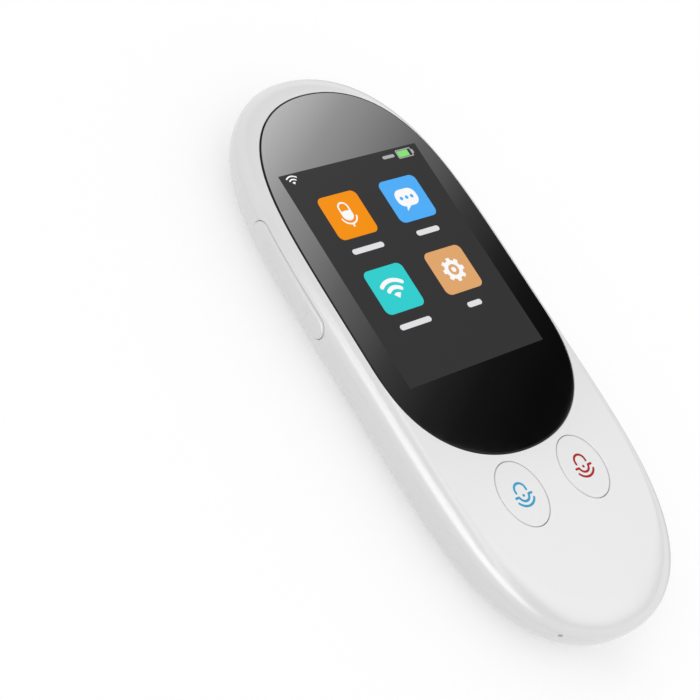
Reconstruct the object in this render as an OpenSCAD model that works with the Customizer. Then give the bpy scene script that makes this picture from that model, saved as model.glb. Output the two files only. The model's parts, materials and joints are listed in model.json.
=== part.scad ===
// Hand-held translator: a slim two-part housing round a screen, two talk keys, side keys and a speaker.
// Frame: origin at the middle of the flat back face, +X to the user's right, +Y to the speaker end,
// +Z out of the screen. All sizes are in millimetres.

/* [Body] */
// body length, end to end along Y
body_len = 128.4; // [127:0.1:156]
// body width, side to side along X
body_wide = 51.8; // [51.6:0.1:64]
// body thickness, back face to front face along Z
body_thick = 12.9; // [12.8:0.1:16]
// distance from each end over which the sides curve in; a smaller one squares the ends off
end_reach = 14.25; // [13:0.05:15.2]
// superellipse power that bows the two long sides
side_power = 2.1; // [2.05:0.05:2.3]
// housing wall thickness
wall = 1.5; // [1.3:0.05:1.7]
// distance from the front face down to the seam between the two housing halves
seam_drop = 3.9; // [3.8:0.05:4.1]
// height of the straight band below the seam
band_high = 0.9; // [0.6:0.1:1.2]
// how far the rounded front edge reaches in from the sides
front_round_side = 3; // [2.6:0.1:3.2]
// how far the rounded front edge reaches in from the ends
front_round_end = 7; // [6:0.1:7.5]
// how far the rounded back edge reaches in from the sides
back_round_side = 6.8; // [6:0.1:7.2]
// how far the rounded back edge reaches in from the ends
back_round_end = 8.8; // [8:0.1:9.5]
// gap between each outside key or piece and the hole it sits in
key_gap = 0.12; // [0.1:0.01:0.2]

/* [Front lens and screen] */
// front lens length
lens_len = 84.4; // [80:0.1:85]
// distance from the body's top end to the lens
lens_top_gap = 5.8; // [5.6:0.1:7]
// distance from the body's side to the lens
lens_side_gap = 2.35; // [2.3:0.05:3]
// lens thickness
lens_thick = 1; // [0.8:0.05:1.1]
// superellipse power of the lens's top end
lens_top_power = 5; // [4.5:0.1:5.2]
// superellipse power of the lens's bottom end
lens_bottom_power = 2.6; // [2.3:0.1:3]
// width of the lit screen area
screen_wide = 36.72; // [34:0.01:37]
// height of the lit screen area
screen_high = 48.96; // [45:0.01:49]
// distance from the lens's top edge to the lit area
screen_drop = 16.5; // [15.5:0.1:17]
// thickness of the housing floor that carries the lens
lens_floor = 0.65; // [0.6:0.05:0.8]

/* [Talk keys] */
// talk key width
talk_wide = 10.5; // [9:0.1:11]
// talk key height
talk_high = 13.6; // [11:0.1:14]
// distance between the two talk key centres
talk_pitch = 17.14; // [16:0.02:18]
// distance from the body's bottom end to the talk key centres
talk_from_end = 30.8; // [29.5:0.1:31]
// talk key travel
talk_travel = 0.35; // [0.2:0.05:0.35]

/* [Side keys] */
// volume rocker length
rocker_len = 26.2; // [21.8:0.1:28]
// volume rocker height
rocker_high = 4.8; // [4:0.1:4.9]
// distance from the body's top end to the rocker's centre
rocker_from_top = 41.2; // [38:0.1:43]
// power key length
power_len = 13; // [10:0.1:14]
// power key height
power_high = 4.3; // [3.6:0.1:4.8]
// distance from the body's top end to the power key's centre
power_from_top = 34.6; // [33:0.1:35]
// how far the side keys stand out of the wall
key_proud = 0.35; // [0.2:0.05:0.5]
// radius of the reset pin hole
reset_hole_r = 0.45; // [0.4:0.05:0.6]
// distance from the body's top end to the reset pin hole
reset_from_top = 42.7; // [42.7:0.1:46]

/* [Ports and strap holes] */
// width of the charging socket's shell
usb_wide = 8.94; // [8.8:0.01:9]
// height of the charging socket's shell
usb_high = 3.26; // [3.1:0.01:3.3]
// depth of the charging socket
usb_deep = 7.2; // [7:0.1:7.4]
// radius of each strap hole
strap_hole_r = 1.05; // [0.9:0.05:1.1]
// distance between the two strap holes
strap_pitch = 4.5; // [4:0.1:5]
// distance of the strap holes from the body's middle line
strap_off = 15.8; // [15:0.1:17]
// radius of the microphone hole
mic_hole_r = 0.45; // [0.4:0.05:0.5]
// distance of the microphone hole from the body's middle line
mic_off = 15.2; // [14.8:0.1:16]

/* [Speaker] */
// distance from the body's top end to the speaker's centre
speaker_from_top = 21.6; // [21:0.1:23]
// radius of the innermost ring of grille holes
grille_first_r = 1.3; // [1.2:0.05:1.5]
// spacing from the first ring of grille holes to the second
grille_step = 1.78; // [1.7:0.02:1.8]
// amount by which each further spacing shrinks
grille_step_loss = 0.066; // [0.05:0.002:0.08]
// radius of the grille holes in the innermost ring
grille_hole_r = 0.52; // [0.4:0.01:0.54]
// amount by which the hole radius shrinks from ring to ring
grille_hole_loss = 0.022; // [0.01:0.002:0.03]

/* [Inside] */
// circuit board thickness
board_thick = 0.8; // [0.7:0.1:1]
// battery width
battery_wide = 33; // [28:0.5:33.5]
// battery length
battery_len = 55; // [45:0.5:55]
// battery thickness
battery_thick = 4; // [3:0.1:4]

/* [Hidden] */
$fn = 48;
eps = 0.01;
ring_points = 96; // points round the housing outline
lens_points = 80; // points round the lens outline
oval_points = 48; // points round a talk key
curve_steps = 8; // steps in each rounded edge of the housing
grille_rings = 8;
grille_outer_count = 60; // the outermost ring has its own, closer spacing

half_len = body_len / 2;
half_wide = body_wide / 2;
end_power = half_len / end_reach; // superellipse power of the two ends
front_z = body_thick;
seam_z = front_z - seam_drop;
waist_z = seam_z - band_high;
front_round = [front_round_side, front_round_end];
back_round = [back_round_side, back_round_end];
cavity_round = [1.2, 5]; // reach of the cavity's rounded front edge, past the wall

tape = 0.15;
lip_high = 0.8; // tongue on the back cover that fits inside the front housing
lip_gap = 0.1;
lip_in = wall / 2;
snap_out = 0.2; // snap bead beyond the tongue's outer face
snap_high = 0.35;
snap_long = 5;
snap_gap = 0.1; // bead to its groove in the front housing
snap_bury = 0.2; // depth of the bead's root in the tongue
snap_places = [-38, -5, half_len - 18]; // bead middles along Y, on both sides
shelf_z = seam_z + lip_high + lip_gap;
lens_floor_z = front_z - lens_thick - tape;
ceil_z = lens_floor_z - lens_floor;
floor_z = wall;

lens_top_y = half_len - lens_top_gap;
lens_low = lens_len - lens_top_y;
lens_half = half_wide - lens_side_gap;
lens_bevel = 0.15;
lens_gap = 0.1;

screen_y = lens_top_y - screen_drop - screen_high / 2;
window_edge = 0.8; // window margin round the lit area
lcd_side = 1.1; // glass beyond the lit area at the sides
lcd_top = 1.4; // glass beyond the lit area at the top
lcd_ledge = 6.5; // glass beyond the lit area at the bottom, where its flex is bonded
lcd_wide = screen_wide + 2 * lcd_side;
lcd_top_y = screen_y + screen_high / 2 + lcd_top;
lcd_low_y = screen_y - screen_high / 2 - lcd_ledge;
lcd_len = lcd_top_y - lcd_low_y;
gasket_thick = 0.3;
gasket_clear = 0.1; // gasket to the rounded corner inside the front housing
glass_thick = 1.3;
tray_thick = 1;
cushion_thick = 0.3;
can_high = 1.1;
glass_z = ceil_z - gasket_thick - glass_thick;
tray_z = glass_z - tray_thick;
cushion_z = tray_z - cushion_thick;
can_wide = 26;
can_len = 20;
can_wall = 0.2;
cushion_margin = 1;
chip_wide = 12;
chip_high = 0.8;

board_z = cushion_z - can_high; // front side of the board
board_low_z = board_z - board_thick;
board_inset = 2.9; // board edge to the outside of the housing
board_round = 0.5;
board_gap = 0.25; // board edge to whatever passes through the board

flex_wide = 12;
flex_thick = 0.15;
flex_run = 0.8; // straight run before the flex turns under the glass
flex_r = 1;
flex_high = 0.2; // height of the flex above the back of the glass
socket_len = 3.2;
socket_high = 1.1;
socket_side = 1; // socket width beyond the flex at each side

talk_y = talk_from_end - half_len;
talk_x = talk_pitch / 2;
talk_soft = 0.2; // radius of the rounded edge round a talk key's face
talk_steps = 3;
flange = 0.7; // width of the rim that keeps a talk key in
flange_thick = 0.7;
flange_gap = 0.1;
flange_z = ceil_z - flange_gap - flange_thick;
stem_r = 1.5;
pad_thick = 0.5;
switch_wide = 4.5;
switch_high = 1.4;
plunger_r = 1;
plunger_out = 0.5; // plunger height above its switch
plunger_in = 0.5; // plunger length inside its switch
plunger_gap = 0.1;
pad_z = board_z + switch_high + plunger_out;
stem_z = pad_z + pad_thick;

side_key_z = seam_z - 1.1;
rocker_y = half_len - rocker_from_top;
power_y = half_len - power_from_top;
reset_y = half_len - reset_from_top;
side_flange = 0.8; // width of the rim that keeps a side key in
side_flange_thick = 0.8;
side_flange_gap = 0.2;
side_travel = 0.3;
side_switch_deep = 2.3;
side_switch_wide = 4.4;
side_switch_high = 1.6;
side_switch_x = lcd_wide / 2 + 0.4;
side_nub_r = 0.55;
side_nub_out = 0.7;
side_nub_in = 0.5;
side_nub_gap = 0.1;
nub_x = side_switch_x + side_switch_deep + side_nub_out;
rocker_nub = 8; // rocker centre to each of its two switches
rocker_nub_gap = 0.3;
rocker_flange = 0.5; // width of the rocker's rim above and below it
rocker_flange_half = 4; // half the length of the rocker's rim
rocker_rib_wide = 1.6;
rocker_rib_gap = 0.1; // rib to the rocker's pivot
rocker_rib_clear = 0.25; // rib to the rocker's rim
rocker_pivot_r = 0.5;
rocker_web = 0.8; // thickness of the web from the pivot to the rocker's rim
reset_switch_wide = 3;
steps_along = 12; // patches along a side key
steps_up = 6; // patches up a side key

usb_recess = 1; // mouth of the socket inside the body's end
usb_y = usb_recess - half_len;
usb_z = board_low_z + board_thick / 2 - 0.8;
usb_wall = 0.3;
usb_slot_gap = 0.2;
usb_tongue_wide = 6.7;
usb_tongue_thick = 0.7;
usb_tongue_start = 1.2; // mouth to the tip of the tongue
usb_base = 1.2; // thickness of the block at the back of the socket
usb_leg_x = 3.6;
usb_leg_wide = 2.6;
usb_leg_len = 4;

strap_z = seam_z - 1.2;
strap_wall = 2; // wall that the strap holes pass through
strap_pocket_deep = 2.6;
strap_pocket_wide = 7.6;
strap_block_wall = 1;
strap_bury = 0.05; // depth of the pocket's block in the housing wall
strap_pocket_z = strap_z - strap_hole_r - 0.3;
mic_z = seam_z - 0.6;
mic_size = [3, 2.6, 1];
mic_in = 2.6; // outside of the housing to the microphone
boot_in = 2.3;
boot_size = [4.4, 4.2, 2.1];

speaker_y = half_len - speaker_from_top;
grille_thick = 1.2;
cloth_r = 13.2;
cloth_gap = 0.1;
cloth_thick = 0.2;
gasket_r = 14.4;
gasket_high = 0.5;
speaker_z = floor_z + gasket_high;
speaker_r = 14.4;
speaker_rim = 2.2;
speaker_rim_high = 0.8;
basket_r = 11.6;
basket_wall = 0.5;
basket_high = 2.4; // rim to the basket's flat back
magnet_r = 6.5;
magnet_high = 1.6;
magnet_gap = 0.02;
speaker_ring_gap = 0.2;
speaker_ring_wall = 1;
speaker_ring_high = 2;

battery_y = -9;
battery_gap = 0.3;
battery_rib = 1;
battery_rib_high = 2.5;
lead_r = 0.4;
lead_len = 3;
lead_pitch = 2;
lead_x = 6;
plug_size = [4.4, 2.7, 1.5];
plug_gap = 0.05;
battery_socket_wall = 0.6;
battery_z = floor_z + tape;

post_r = 1.7;
screw_hole_r = 0.8;
screw_r = 0.55;
pilot_r = 0.6;
screw_len = 3.4;
screw_head_r = 1.3;
screw_head_high = 0.6;
post_from_mic = 8.8; // lowest posts to the wall at the microphone, along Y
posts = [[15.5, half_len - 14.2], [18.8, -20], [12, post_from_mic - edge_y(mic_off)]];

aerial_size = [16, 5, 0.2];
aerial_y = battery_y - battery_len / 2 - 5.3;
contact_wide = 1.2;
contact_leaf = 0.2;
contact_len = 1.4;
contact_x = 3;
contact_in = 1.6; // speaker's edge to the contact's middle

// ---- outlines and lofts ----

// point at angle a on a superellipse whose upper and lower halves may differ
function outline_point(a, half_x, up, low, side_p, up_p, low_p) =
    [half_x * sign(cos(a)) * pow(abs(cos(a)), 2 / side_p),
     sin(a) < 0 ? -low * pow(-sin(a), 2 / low_p) : up * pow(sin(a), 2 / up_p)];

// housing outline drawn in by inset = [side, end], at height z
function body_ring(inset, z) = [for (i = [0 : ring_points - 1])
    let (p = outline_point(360 * i / ring_points, half_wide - inset[0], half_len - inset[1],
        half_len - inset[1], side_power, end_power, end_power))
    [p[0], p[1], z]];

// lens outline grown by grow, at height z
function lens_ring(grow, z) = [for (i = [0 : lens_points - 1])
    let (p = outline_point(360 * i / lens_points, lens_half + grow, lens_top_y + grow,
        lens_low + grow, side_power, lens_top_power, lens_bottom_power))
    [p[0], p[1], z]];

function flat(ring) = [for (p = ring) [p[0], p[1]]];

function oval(grow) = [for (i = [0 : oval_points - 1])
    outline_point(360 * i / oval_points, talk_wide / 2 + grow, talk_high / 2 + grow,
        talk_high / 2 + grow, 2, 2, 2)];

// closed solid through a stack of rings, each with the same number of points
module loft(rings) {
    n = len(rings[0]);
    last = (len(rings) - 1) * n;
    polyhedron(
        points = [for (r = rings) each r],
        faces = concat(
            [[for (i = [0 : n - 1]) i]],
            [for (k = [0 : len(rings) - 2], i = [0 : n - 1], t = [0, 1])
                let (a = k * n + i, b = k * n + (i + 1) % n)
                t == 0 ? [a, a + n, b + n] : [a, b + n, b]],
            [[for (i = [n - 1 : -1 : 0]) last + i]]));
}

// ---- housing profile, as [inset, z] pairs ----

// quarter turn from the start to the end of a rounded edge, as shares of its reach and its rise
function quarter(k) = let (u = 90 * k / curve_steps) [1 - cos(u), sin(u)];
// share of its reach that a rounded edge has used at share c of its rise
function reach_at(c) = 1 - sqrt(1 - min(1, c) * min(1, c));

function skin_back(k) = let (q = quarter(k)) [back_round * q[0], waist_z * (1 - q[1])];
function skin_front(k) = let (q = quarter(k))
    [front_round * q[0], seam_z + seam_drop * q[1]];
function cavity_back(k) = let (q = quarter(k))
    [[wall, wall] + back_round * q[0], waist_z - (waist_z - floor_z) * q[1]];
function cavity_front(k) = let (q = quarter(k))
    [[wall, wall] + cavity_round * q[0], shelf_z + (ceil_z - shelf_z) * q[1]];

function skin_inset(z) = z > seam_z ? front_round * reach_at((z - seam_z) / seam_drop)
    : z < waist_z ? back_round * reach_at((waist_z - z) / waist_z) : [0, 0];
function cavity_inset(z) = [wall, wall]
    + (z > shelf_z ? cavity_round * reach_at((z - shelf_z) / (ceil_z - shelf_z))
    : z < waist_z ? back_round * reach_at((waist_z - z) / (waist_z - floor_z)) : [0, 0]);

// half width of the housing outline at y, drawn in by inset
function side_x(y, inset) = (half_wide - inset[0])
    * pow(1 - pow(abs(y) / (half_len - inset[1]), end_power), 1 / side_power);
function skin_x(y, z) = side_x(y, skin_inset(z));
function cavity_x(y, z) = side_x(y, cavity_inset(z));

// place and direction of the outer edge of the bottom end at x
function edge_y(x) = half_len * pow(1 - pow(x / half_wide, side_power), 1 / end_power);
function edge_angle(x) = atan2(
    end_power * pow(edge_y(x) / half_len, end_power - 1) / half_len,
    side_power * pow(x / half_wide, side_power - 1) / half_wide);

// puts children at the bottom edge at x, with their own +X pointing straight out of the wall
module at_edge(x, z) {
    translate([x, -edge_y(x), z])
        rotate([0, 0, -edge_angle(x)])
            children();
}

module both_sides() {
    children();
    mirror([1, 0, 0])
        children();
}

// ---- shared shapes ----

// box by its low corner in x, its middle in y and its low corner in z
module block(x, y, z, size) {
    translate([x, y - size[1] / 2, z])
        cube(size);
}

module centred_box(x, y, z, size) {
    translate([x - size[0] / 2, y - size[1] / 2, z])
        cube(size);
}

module stadium(long, high) {
    square([long - high, high], center = true);
    for (s = [-1, 1])
        translate([s * (long - high) / 2, 0])
            circle(d = high);
}

// stadium prism that runs along X through the right-hand wall
module side_prism(y, long, high) {
    translate([0, y, side_key_z])
        rotate([90, 0, 90])
            linear_extrude(half_wide + wall)
                stadium(long, high);
}

// solid between two surfaces x = outer(y, z) and x = inner(y, z)
module side_slab(y, long, high, outer, inner) {
    ny = steps_along;
    nz = steps_up;
    row = nz + 1;
    sheet = (ny + 1) * row;
    function at(j, k, f) = let (yy = y + long * (j / ny - 0.5),
        zz = side_key_z + high * (k / nz - 0.5)) [f(yy, zz), yy, zz];
    polyhedron(
        points = [for (f = [outer, inner], j = [0 : ny], k = [0 : nz]) at(j, k, f)],
        faces = concat(
            [for (j = [0 : ny - 1], k = [0 : nz - 1], t = [0, 1])
                let (a = j * row + k)
                t == 0 ? [a, a + 1, a + row + 1] : [a, a + row + 1, a + row]],
            [for (j = [0 : ny - 1], k = [0 : nz - 1], t = [0, 1])
                let (a = sheet + j * row + k)
                t == 0 ? [a, a + row + 1, a + 1] : [a, a + row, a + row + 1]],
            [for (j = [0 : ny - 1], k = [0, nz], t = [0, 1])
                let (a = j * row + k, b = a + row, c = b + sheet, d = a + sheet)
                k == 0 ? (t == 0 ? [a, b, c] : [a, c, d]) : (t == 0 ? [a, c, b] : [a, d, c])],
            [for (j = [0, ny], k = [0 : nz - 1], t = [0, 1])
                let (a = j * row + k, b = a + 1, c = b + sheet, d = a + sheet)
                j == 0 ? (t == 0 ? [a, c, b] : [a, d, c]) : (t == 0 ? [a, b, c] : [a, c, d])]));
}

// ---- housing ----

module front_shell() {
    loft(concat(
        [for (k = [curve_steps : -1 : 0]) let (p = cavity_front(k)) body_ring(p[0], p[1])],
        [body_ring([1, 1] * (lip_in - lip_gap), shelf_z),
         body_ring([1, 1] * (lip_in - lip_gap), seam_z)],
        [for (k = [0 : curve_steps]) let (p = skin_front(k)) body_ring(p[0], p[1])]));
}

module back_shell() {
    loft(concat(
        [for (k = [curve_steps : -1 : 0]) let (p = skin_back(k)) body_ring(p[0], p[1])],
        [body_ring([0, 0], seam_z),
         body_ring([1, 1] * lip_in, seam_z),
         body_ring([1, 1] * lip_in, seam_z + lip_high),
         body_ring([wall, wall], seam_z + lip_high)],
        [for (k = [0 : curve_steps]) let (p = cavity_back(k)) body_ring(p[0], p[1])]));
}

module side_openings() {
    side_prism(power_y, power_len + 2 * key_gap, power_high + 2 * key_gap);
    mirror([1, 0, 0])
        side_prism(rocker_y, rocker_len + 2 * key_gap, rocker_high + 2 * key_gap);
    translate([0, reset_y, side_key_z])
        rotate([0, 90, 0])
            cylinder(r = reset_hole_r, h = half_wide + wall);
}

// beads along the tongue that snap into grooves of the same form, grown by grow
module snap_beads(grow) {
    translate([0, 0, seam_z + (lip_high - snap_high) / 2 - grow])
        linear_extrude(snap_high + 2 * grow)
            intersection() {
                difference() {
                    polygon(flat(body_ring([1, 1] * (lip_in - snap_out - grow), 0)));
                    polygon(flat(body_ring([1, 1] * (lip_in + snap_bury), 0)));
                }
                for (y = snap_places)
                    translate([0, y])
                        square([body_wide, snap_long + 2 * grow], center = true);
            }
}

module at_posts() {
    for (p = posts)
        both_sides()
            translate([p[0], p[1], 0])
                children();
}

module front_housing() {
    color("whitesmoke")
        difference() {
            union() {
                front_shell();
                at_posts()
                    translate([0, 0, board_z])
                        cylinder(r = post_r, h = ceil_z + eps - board_z);
            }
            translate([0, 0, lens_floor_z])
                linear_extrude(front_z)
                    polygon(flat(lens_ring(lens_gap, 0)));
            centred_box(0, screen_y, floor_z, [screen_wide + 2 * window_edge,
                screen_high + 2 * window_edge, front_z]);
            both_sides()
                translate([talk_x, talk_y, floor_z])
                    linear_extrude(front_z)
                        polygon(oval(key_gap));
            at_posts()
                translate([0, 0, board_z - eps])
                    cylinder(r = pilot_r, h = screw_len);
            snap_beads(snap_gap);
            side_openings();
        }
}

// middle of the n holes in ring k of the grille
function grille_r(k) = grille_first_r + k * grille_step - grille_step_loss * k * (k - 1) / 2;
function grille_count(k) = k == 0 ? 4 : k == grille_rings - 1 ? grille_outer_count : 8 * k;

module grille_holes() {
    for (k = [0 : grille_rings - 1], i = [0 : grille_count(k) - 1])
        rotate([0, 0, 360 * i / grille_count(k)])
            translate([grille_r(k), 0, -eps])
                cylinder(r = grille_hole_r - k * grille_hole_loss, h = wall + 2 * eps);
}

module strap_anchor() {
    low = strap_pocket_z - strap_block_wall;
    at_edge(strap_off, 0)
        block(-strap_wall - strap_pocket_deep - strap_block_wall, 0, low,
            [strap_pocket_deep + strap_block_wall + strap_wall - wall + strap_bury,
             strap_pocket_wide + 2 * strap_block_wall, seam_z - low]);
}

module strap_cuts() {
    at_edge(strap_off, 0)
        block(-strap_wall - strap_pocket_deep, 0, strap_pocket_z,
            [strap_pocket_deep, strap_pocket_wide, seam_z]);
    for (s = [-1, 1])
        at_edge(strap_off, strap_z)
            translate([-strap_wall - eps, s * strap_pitch / 2, 0])
                rotate([0, 90, 0])
                    cylinder(r = strap_hole_r, h = strap_wall + wall);
}

module battery_ribs() {
    inner = [battery_wide + 2 * battery_gap, battery_len + 2 * battery_gap];
    translate([0, battery_y, floor_z - eps])
        linear_extrude(battery_rib_high)
            difference() {
                square(inner + [2, 2] * battery_rib, center = true);
                square(inner, center = true);
                square([inner[0] - 12, inner[1] + 4 * battery_rib], center = true);
            }
}

module speaker_seat() {
    translate([0, speaker_y, floor_z - eps])
        linear_extrude(speaker_ring_high)
            difference() {
                circle(r = speaker_r + speaker_ring_gap + speaker_ring_wall);
                circle(r = speaker_r + speaker_ring_gap);
            }
}

module rocker_rib() {
    x = rib_x();
    mirror([1, 0, 0])
        block(x - rocker_rib_wide, rocker_y, floor_z,
            [rocker_rib_wide, rocker_rib_wide, side_key_z + rocker_high / 2 - floor_z]);
}

module back_cover() {
    color("gainsboro")
        difference() {
            union() {
                back_shell();
                snap_beads(0);
                strap_anchor();
                battery_ribs();
                speaker_seat();
                rocker_rib();
            }
            strap_cuts();
            translate([0, speaker_y, 0]) {
                grille_holes();
                translate([0, 0, grille_thick])
                    cylinder(r = cloth_r + cloth_gap, h = wall);
                translate([0, 0, floor_z])
                    cylinder(r = speaker_r + speaker_ring_gap, h = speaker_ring_high + wall);
            }
            translate([0, usb_y + usb_deep / 2, usb_z])
                rotate([90, 0, 0])
                    linear_extrude(usb_deep)
                        stadium(usb_wide + 2 * usb_slot_gap, usb_high + 2 * usb_slot_gap);
            mirror([1, 0, 0])
                at_edge(mic_off, mic_z)
                    rotate([0, 90, 0])
                        cylinder(r = mic_hole_r, h = 4 * wall, center = true);
            side_openings();
        }
}

// ---- lens and screen ----

module lens() {
    color("black")
        loft([lens_ring(0, front_z - lens_thick),
            lens_ring(0, front_z - lens_bevel),
            lens_ring(-lens_bevel, front_z)]);
}

module lens_tape() {
    color("dimgray")
        translate([0, 0, lens_floor_z])
            linear_extrude(tape)
                difference() {
                    polygon(flat(lens_ring(-2 * lens_bevel, 0)));
                    translate([0, screen_y])
                        square([screen_wide, screen_high] + [2, 2] * window_edge,
                            center = true);
                }
}

module lcd_plate(z, thick) {
    translate([-lcd_wide / 2, lcd_low_y, z])
        cube([lcd_wide, lcd_len, thick]);
}

module lcd_gasket() {
    color("darkslategray")
        difference() {
            intersection() {
                lcd_plate(ceil_z - gasket_thick, gasket_thick);
                translate([0, 0, floor_z])
                    linear_extrude(front_z)
                        polygon(flat(body_ring(cavity_inset(ceil_z) + [1, 1] * gasket_clear, 0)));
            }
            centred_box(0, screen_y, floor_z, [screen_wide + 2 * window_edge,
                screen_high + 2 * window_edge, front_z]);
        }
}

module lcd_glass() {
    color("steelblue")
        lcd_plate(glass_z, glass_thick);
}

module lcd_backlight() {
    color("white")
        lcd_plate(tray_z, tray_thick);
}

module lcd_cushion() {
    color("slategray")
        centred_box(0, screen_y, cushion_z, [can_wide - 2 * cushion_margin,
            can_len - 2 * cushion_margin, cushion_thick]);
}

module lcd_flex() {
    top = glass_z + flex_high;
    bend_z = top + flex_thick / 2 - flex_r;
    bend_y = lcd_low_y - flex_run;
    color("orange") {
        translate([-flex_wide / 2, bend_y, top])
            cube([flex_wide, flex_run, flex_thick]);
        translate([-flex_wide / 2, bend_y, bend_z])
            rotate([90, 0, 90])
                linear_extrude(flex_wide)
                    difference() {
                        circle(r = flex_r + flex_thick / 2);
                        circle(r = flex_r - flex_thick / 2);
                        translate([0, -2 * flex_r])
                            square(4 * flex_r);
                    }
        translate([-flex_wide / 2, bend_y, bend_z - flex_r - flex_thick / 2])
            cube([flex_wide, flex_run + 2 * flex_r, flex_thick]);
    }
}

module lcd_socket() {
    color("ivory")
        centred_box(0, lcd_low_y + 2 * flex_r + socket_len / 2, board_z,
            [flex_wide + 2 * socket_side, socket_len, socket_high]);
}

// ---- board and what it carries ----

module board_outline() {
    polygon([for (i = [0 : ring_points - 1])
        outline_point(360 * i / ring_points, half_wide - board_inset, half_len - board_inset
            - board_round, half_len - board_inset - board_round, side_power, end_power,
            end_power)]);
}

// board edge beside a side key: clear of the key's rim and stem when the key is pressed
function relief_x(y, long) = min(nub_x, flange_back(y + long / 2 + side_flange, board_low_z))
    - side_travel - board_gap;

module main_board() {
    color("seagreen")
        difference() {
            translate([0, 0, board_low_z])
                linear_extrude(board_thick)
                    board_outline();
            block(relief_x(power_y, power_len), power_y, 0,
                [half_wide, power_len + 4 * side_flange, front_z]);
            mirror([1, 0, 0])
                block(relief_x(rocker_y, rocker_len), rocker_y, 0,
                    [half_wide, rocker_len + 2 * side_flange, front_z]);
            mirror([1, 0, 0])
                block(rib_x() - rocker_rib_wide - board_gap, rocker_y, 0,
                    [2 * rocker_rib_wide, rocker_rib_wide + 2 * board_gap, front_z]);
            centred_box(0, usb_y + usb_deep / 2, 0, [usb_wide + 2 * board_gap,
                usb_deep + 2 * board_gap, front_z]);
            at_edge(strap_off, 0)
                centred_box(0, 0, 0, [2 * (strap_wall + strap_pocket_deep + strap_block_wall)
                    + 2 * board_gap, strap_pocket_wide + 3 * strap_block_wall, front_z]);
            at_posts()
                translate([0, 0, board_low_z - eps])
                    cylinder(r = screw_hole_r, h = board_thick + 2 * eps);
        }
}

module processor() {
    color("dimgray")
        centred_box(0, screen_y, board_z, [chip_wide, chip_wide, chip_high]);
}

module shield_can() {
    color("silver")
        difference() {
            centred_box(0, screen_y, board_z, [can_wide, can_len, can_high]);
            centred_box(0, screen_y, board_z - can_wall, [can_wide - 2 * can_wall,
                can_len - 2 * can_wall, can_high]);
        }
}

module board_screws() {
    color("gray")
        at_posts() {
            translate([0, 0, board_low_z - screw_head_high])
                cylinder(r = screw_head_r, h = screw_head_high);
            translate([0, 0, board_low_z - eps])
                cylinder(r = screw_r, h = screw_len);
        }
}

// ---- talk keys ----

module talk_switches() {
    color("silver")
        both_sides()
            difference() {
                centred_box(talk_x, talk_y, board_z, [switch_wide, switch_wide, switch_high]);
                translate([talk_x, talk_y, board_z + switch_high - plunger_in - talk_travel
                    - plunger_gap])
                    cylinder(r = plunger_r + plunger_gap, h = switch_high);
            }
}

// talk key's oval drawn in by inset, at height z
function oval_ring(inset, z) = [for (p = oval(-inset)) [p[0], p[1], z]];

module talk_key() {
    translate([talk_x, talk_y, 0]) {
        loft(concat([oval_ring(0, flange_z)],
            [for (k = [0 : talk_steps]) let (u = 90 * k / talk_steps)
                oval_ring(talk_soft * (1 - cos(u)), front_z - talk_soft * (1 - sin(u)))]));
        translate([0, 0, flange_z])
            linear_extrude(flange_thick)
                polygon(oval(flange));
        translate([0, 0, stem_z])
            cylinder(r = stem_r, h = flange_z + eps - stem_z);
    }
}

module talk_pad() {
    translate([talk_x, talk_y, pad_z])
        cylinder(r = stem_r, h = pad_thick);
}

module talk_plunger() {
    translate([talk_x, talk_y, pad_z - plunger_out - plunger_in])
        cylinder(r = plunger_r, h = plunger_out + plunger_in);
}

module left_key() {
    color("white")
        mirror([1, 0, 0])
            talk_key();
}

module left_pad() {
    color("lightgray")
        mirror([1, 0, 0])
            talk_pad();
}

module left_plunger() {
    color("black")
        mirror([1, 0, 0])
            talk_plunger();
}

module right_key() {
    color("white")
        talk_key();
}

module right_pad() {
    color("lightgray")
        talk_pad();
}

module right_plunger() {
    color("black")
        talk_plunger();
}

// ---- side keys ----

function key_face(y, z) = skin_x(y, z) + key_proud;
function flange_face(y, z) = cavity_x(y, z) - side_flange_gap;
function flange_back(y, z) = flange_face(y, z) - side_flange_thick;
function cap_back(y, z) = flange_face(y, z) - side_flange_thick / 3;
// outer face of the rib that the rocker's pivot leans on, clear of the rim's low edge
function rib_x() = flange_back(rocker_y, side_key_z - rocker_high / 2 - rocker_flange)
    - rocker_rib_clear;

module side_cap(y, long, high) {
    intersection() {
        side_slab(y, long + wall, high + wall, function(yy, zz) key_face(yy, zz),
            function(yy, zz) cap_back(yy, zz));
        side_prism(y, long, high);
    }
}

// where parts that grow inward from a key start, just inside its rim's outer face
function rim_end_x(y) = flange_face(y, side_key_z) - side_flange_thick / 6;

// stem from the key's rim at y inward to x, where the rim doesn't reach that far itself
module side_stem(y, x) {
    if (x < rim_end_x(y))
        translate([x, y, side_key_z])
            rotate([0, 90, 0])
                cylinder(r = stem_r, h = rim_end_x(y) - x);
}

// room for a switch plunger that ends at x, cut only where the key's inner face lies deeper
module nub_pocket(y, x, inner_face) {
    if (inner_face < x + side_nub_gap)
        side_nub(y, side_nub_r + 2 * side_nub_gap, x - wall, x);
}

module power_key() {
    long = power_len + 2 * side_flange;
    high = power_high + 2 * side_flange;
    color("white")
        difference() {
            union() {
                side_cap(power_y, power_len, power_high);
                intersection() {
                    side_slab(power_y, long + wall, high + wall,
                        function(yy, zz) flange_face(yy, zz),
                        function(yy, zz) flange_back(yy, zz));
                    side_prism(power_y, long, high);
                }
                side_stem(power_y, nub_x);
            }
            nub_pocket(power_y, nub_x, flange_back(power_y, side_key_z));
        }
}

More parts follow.
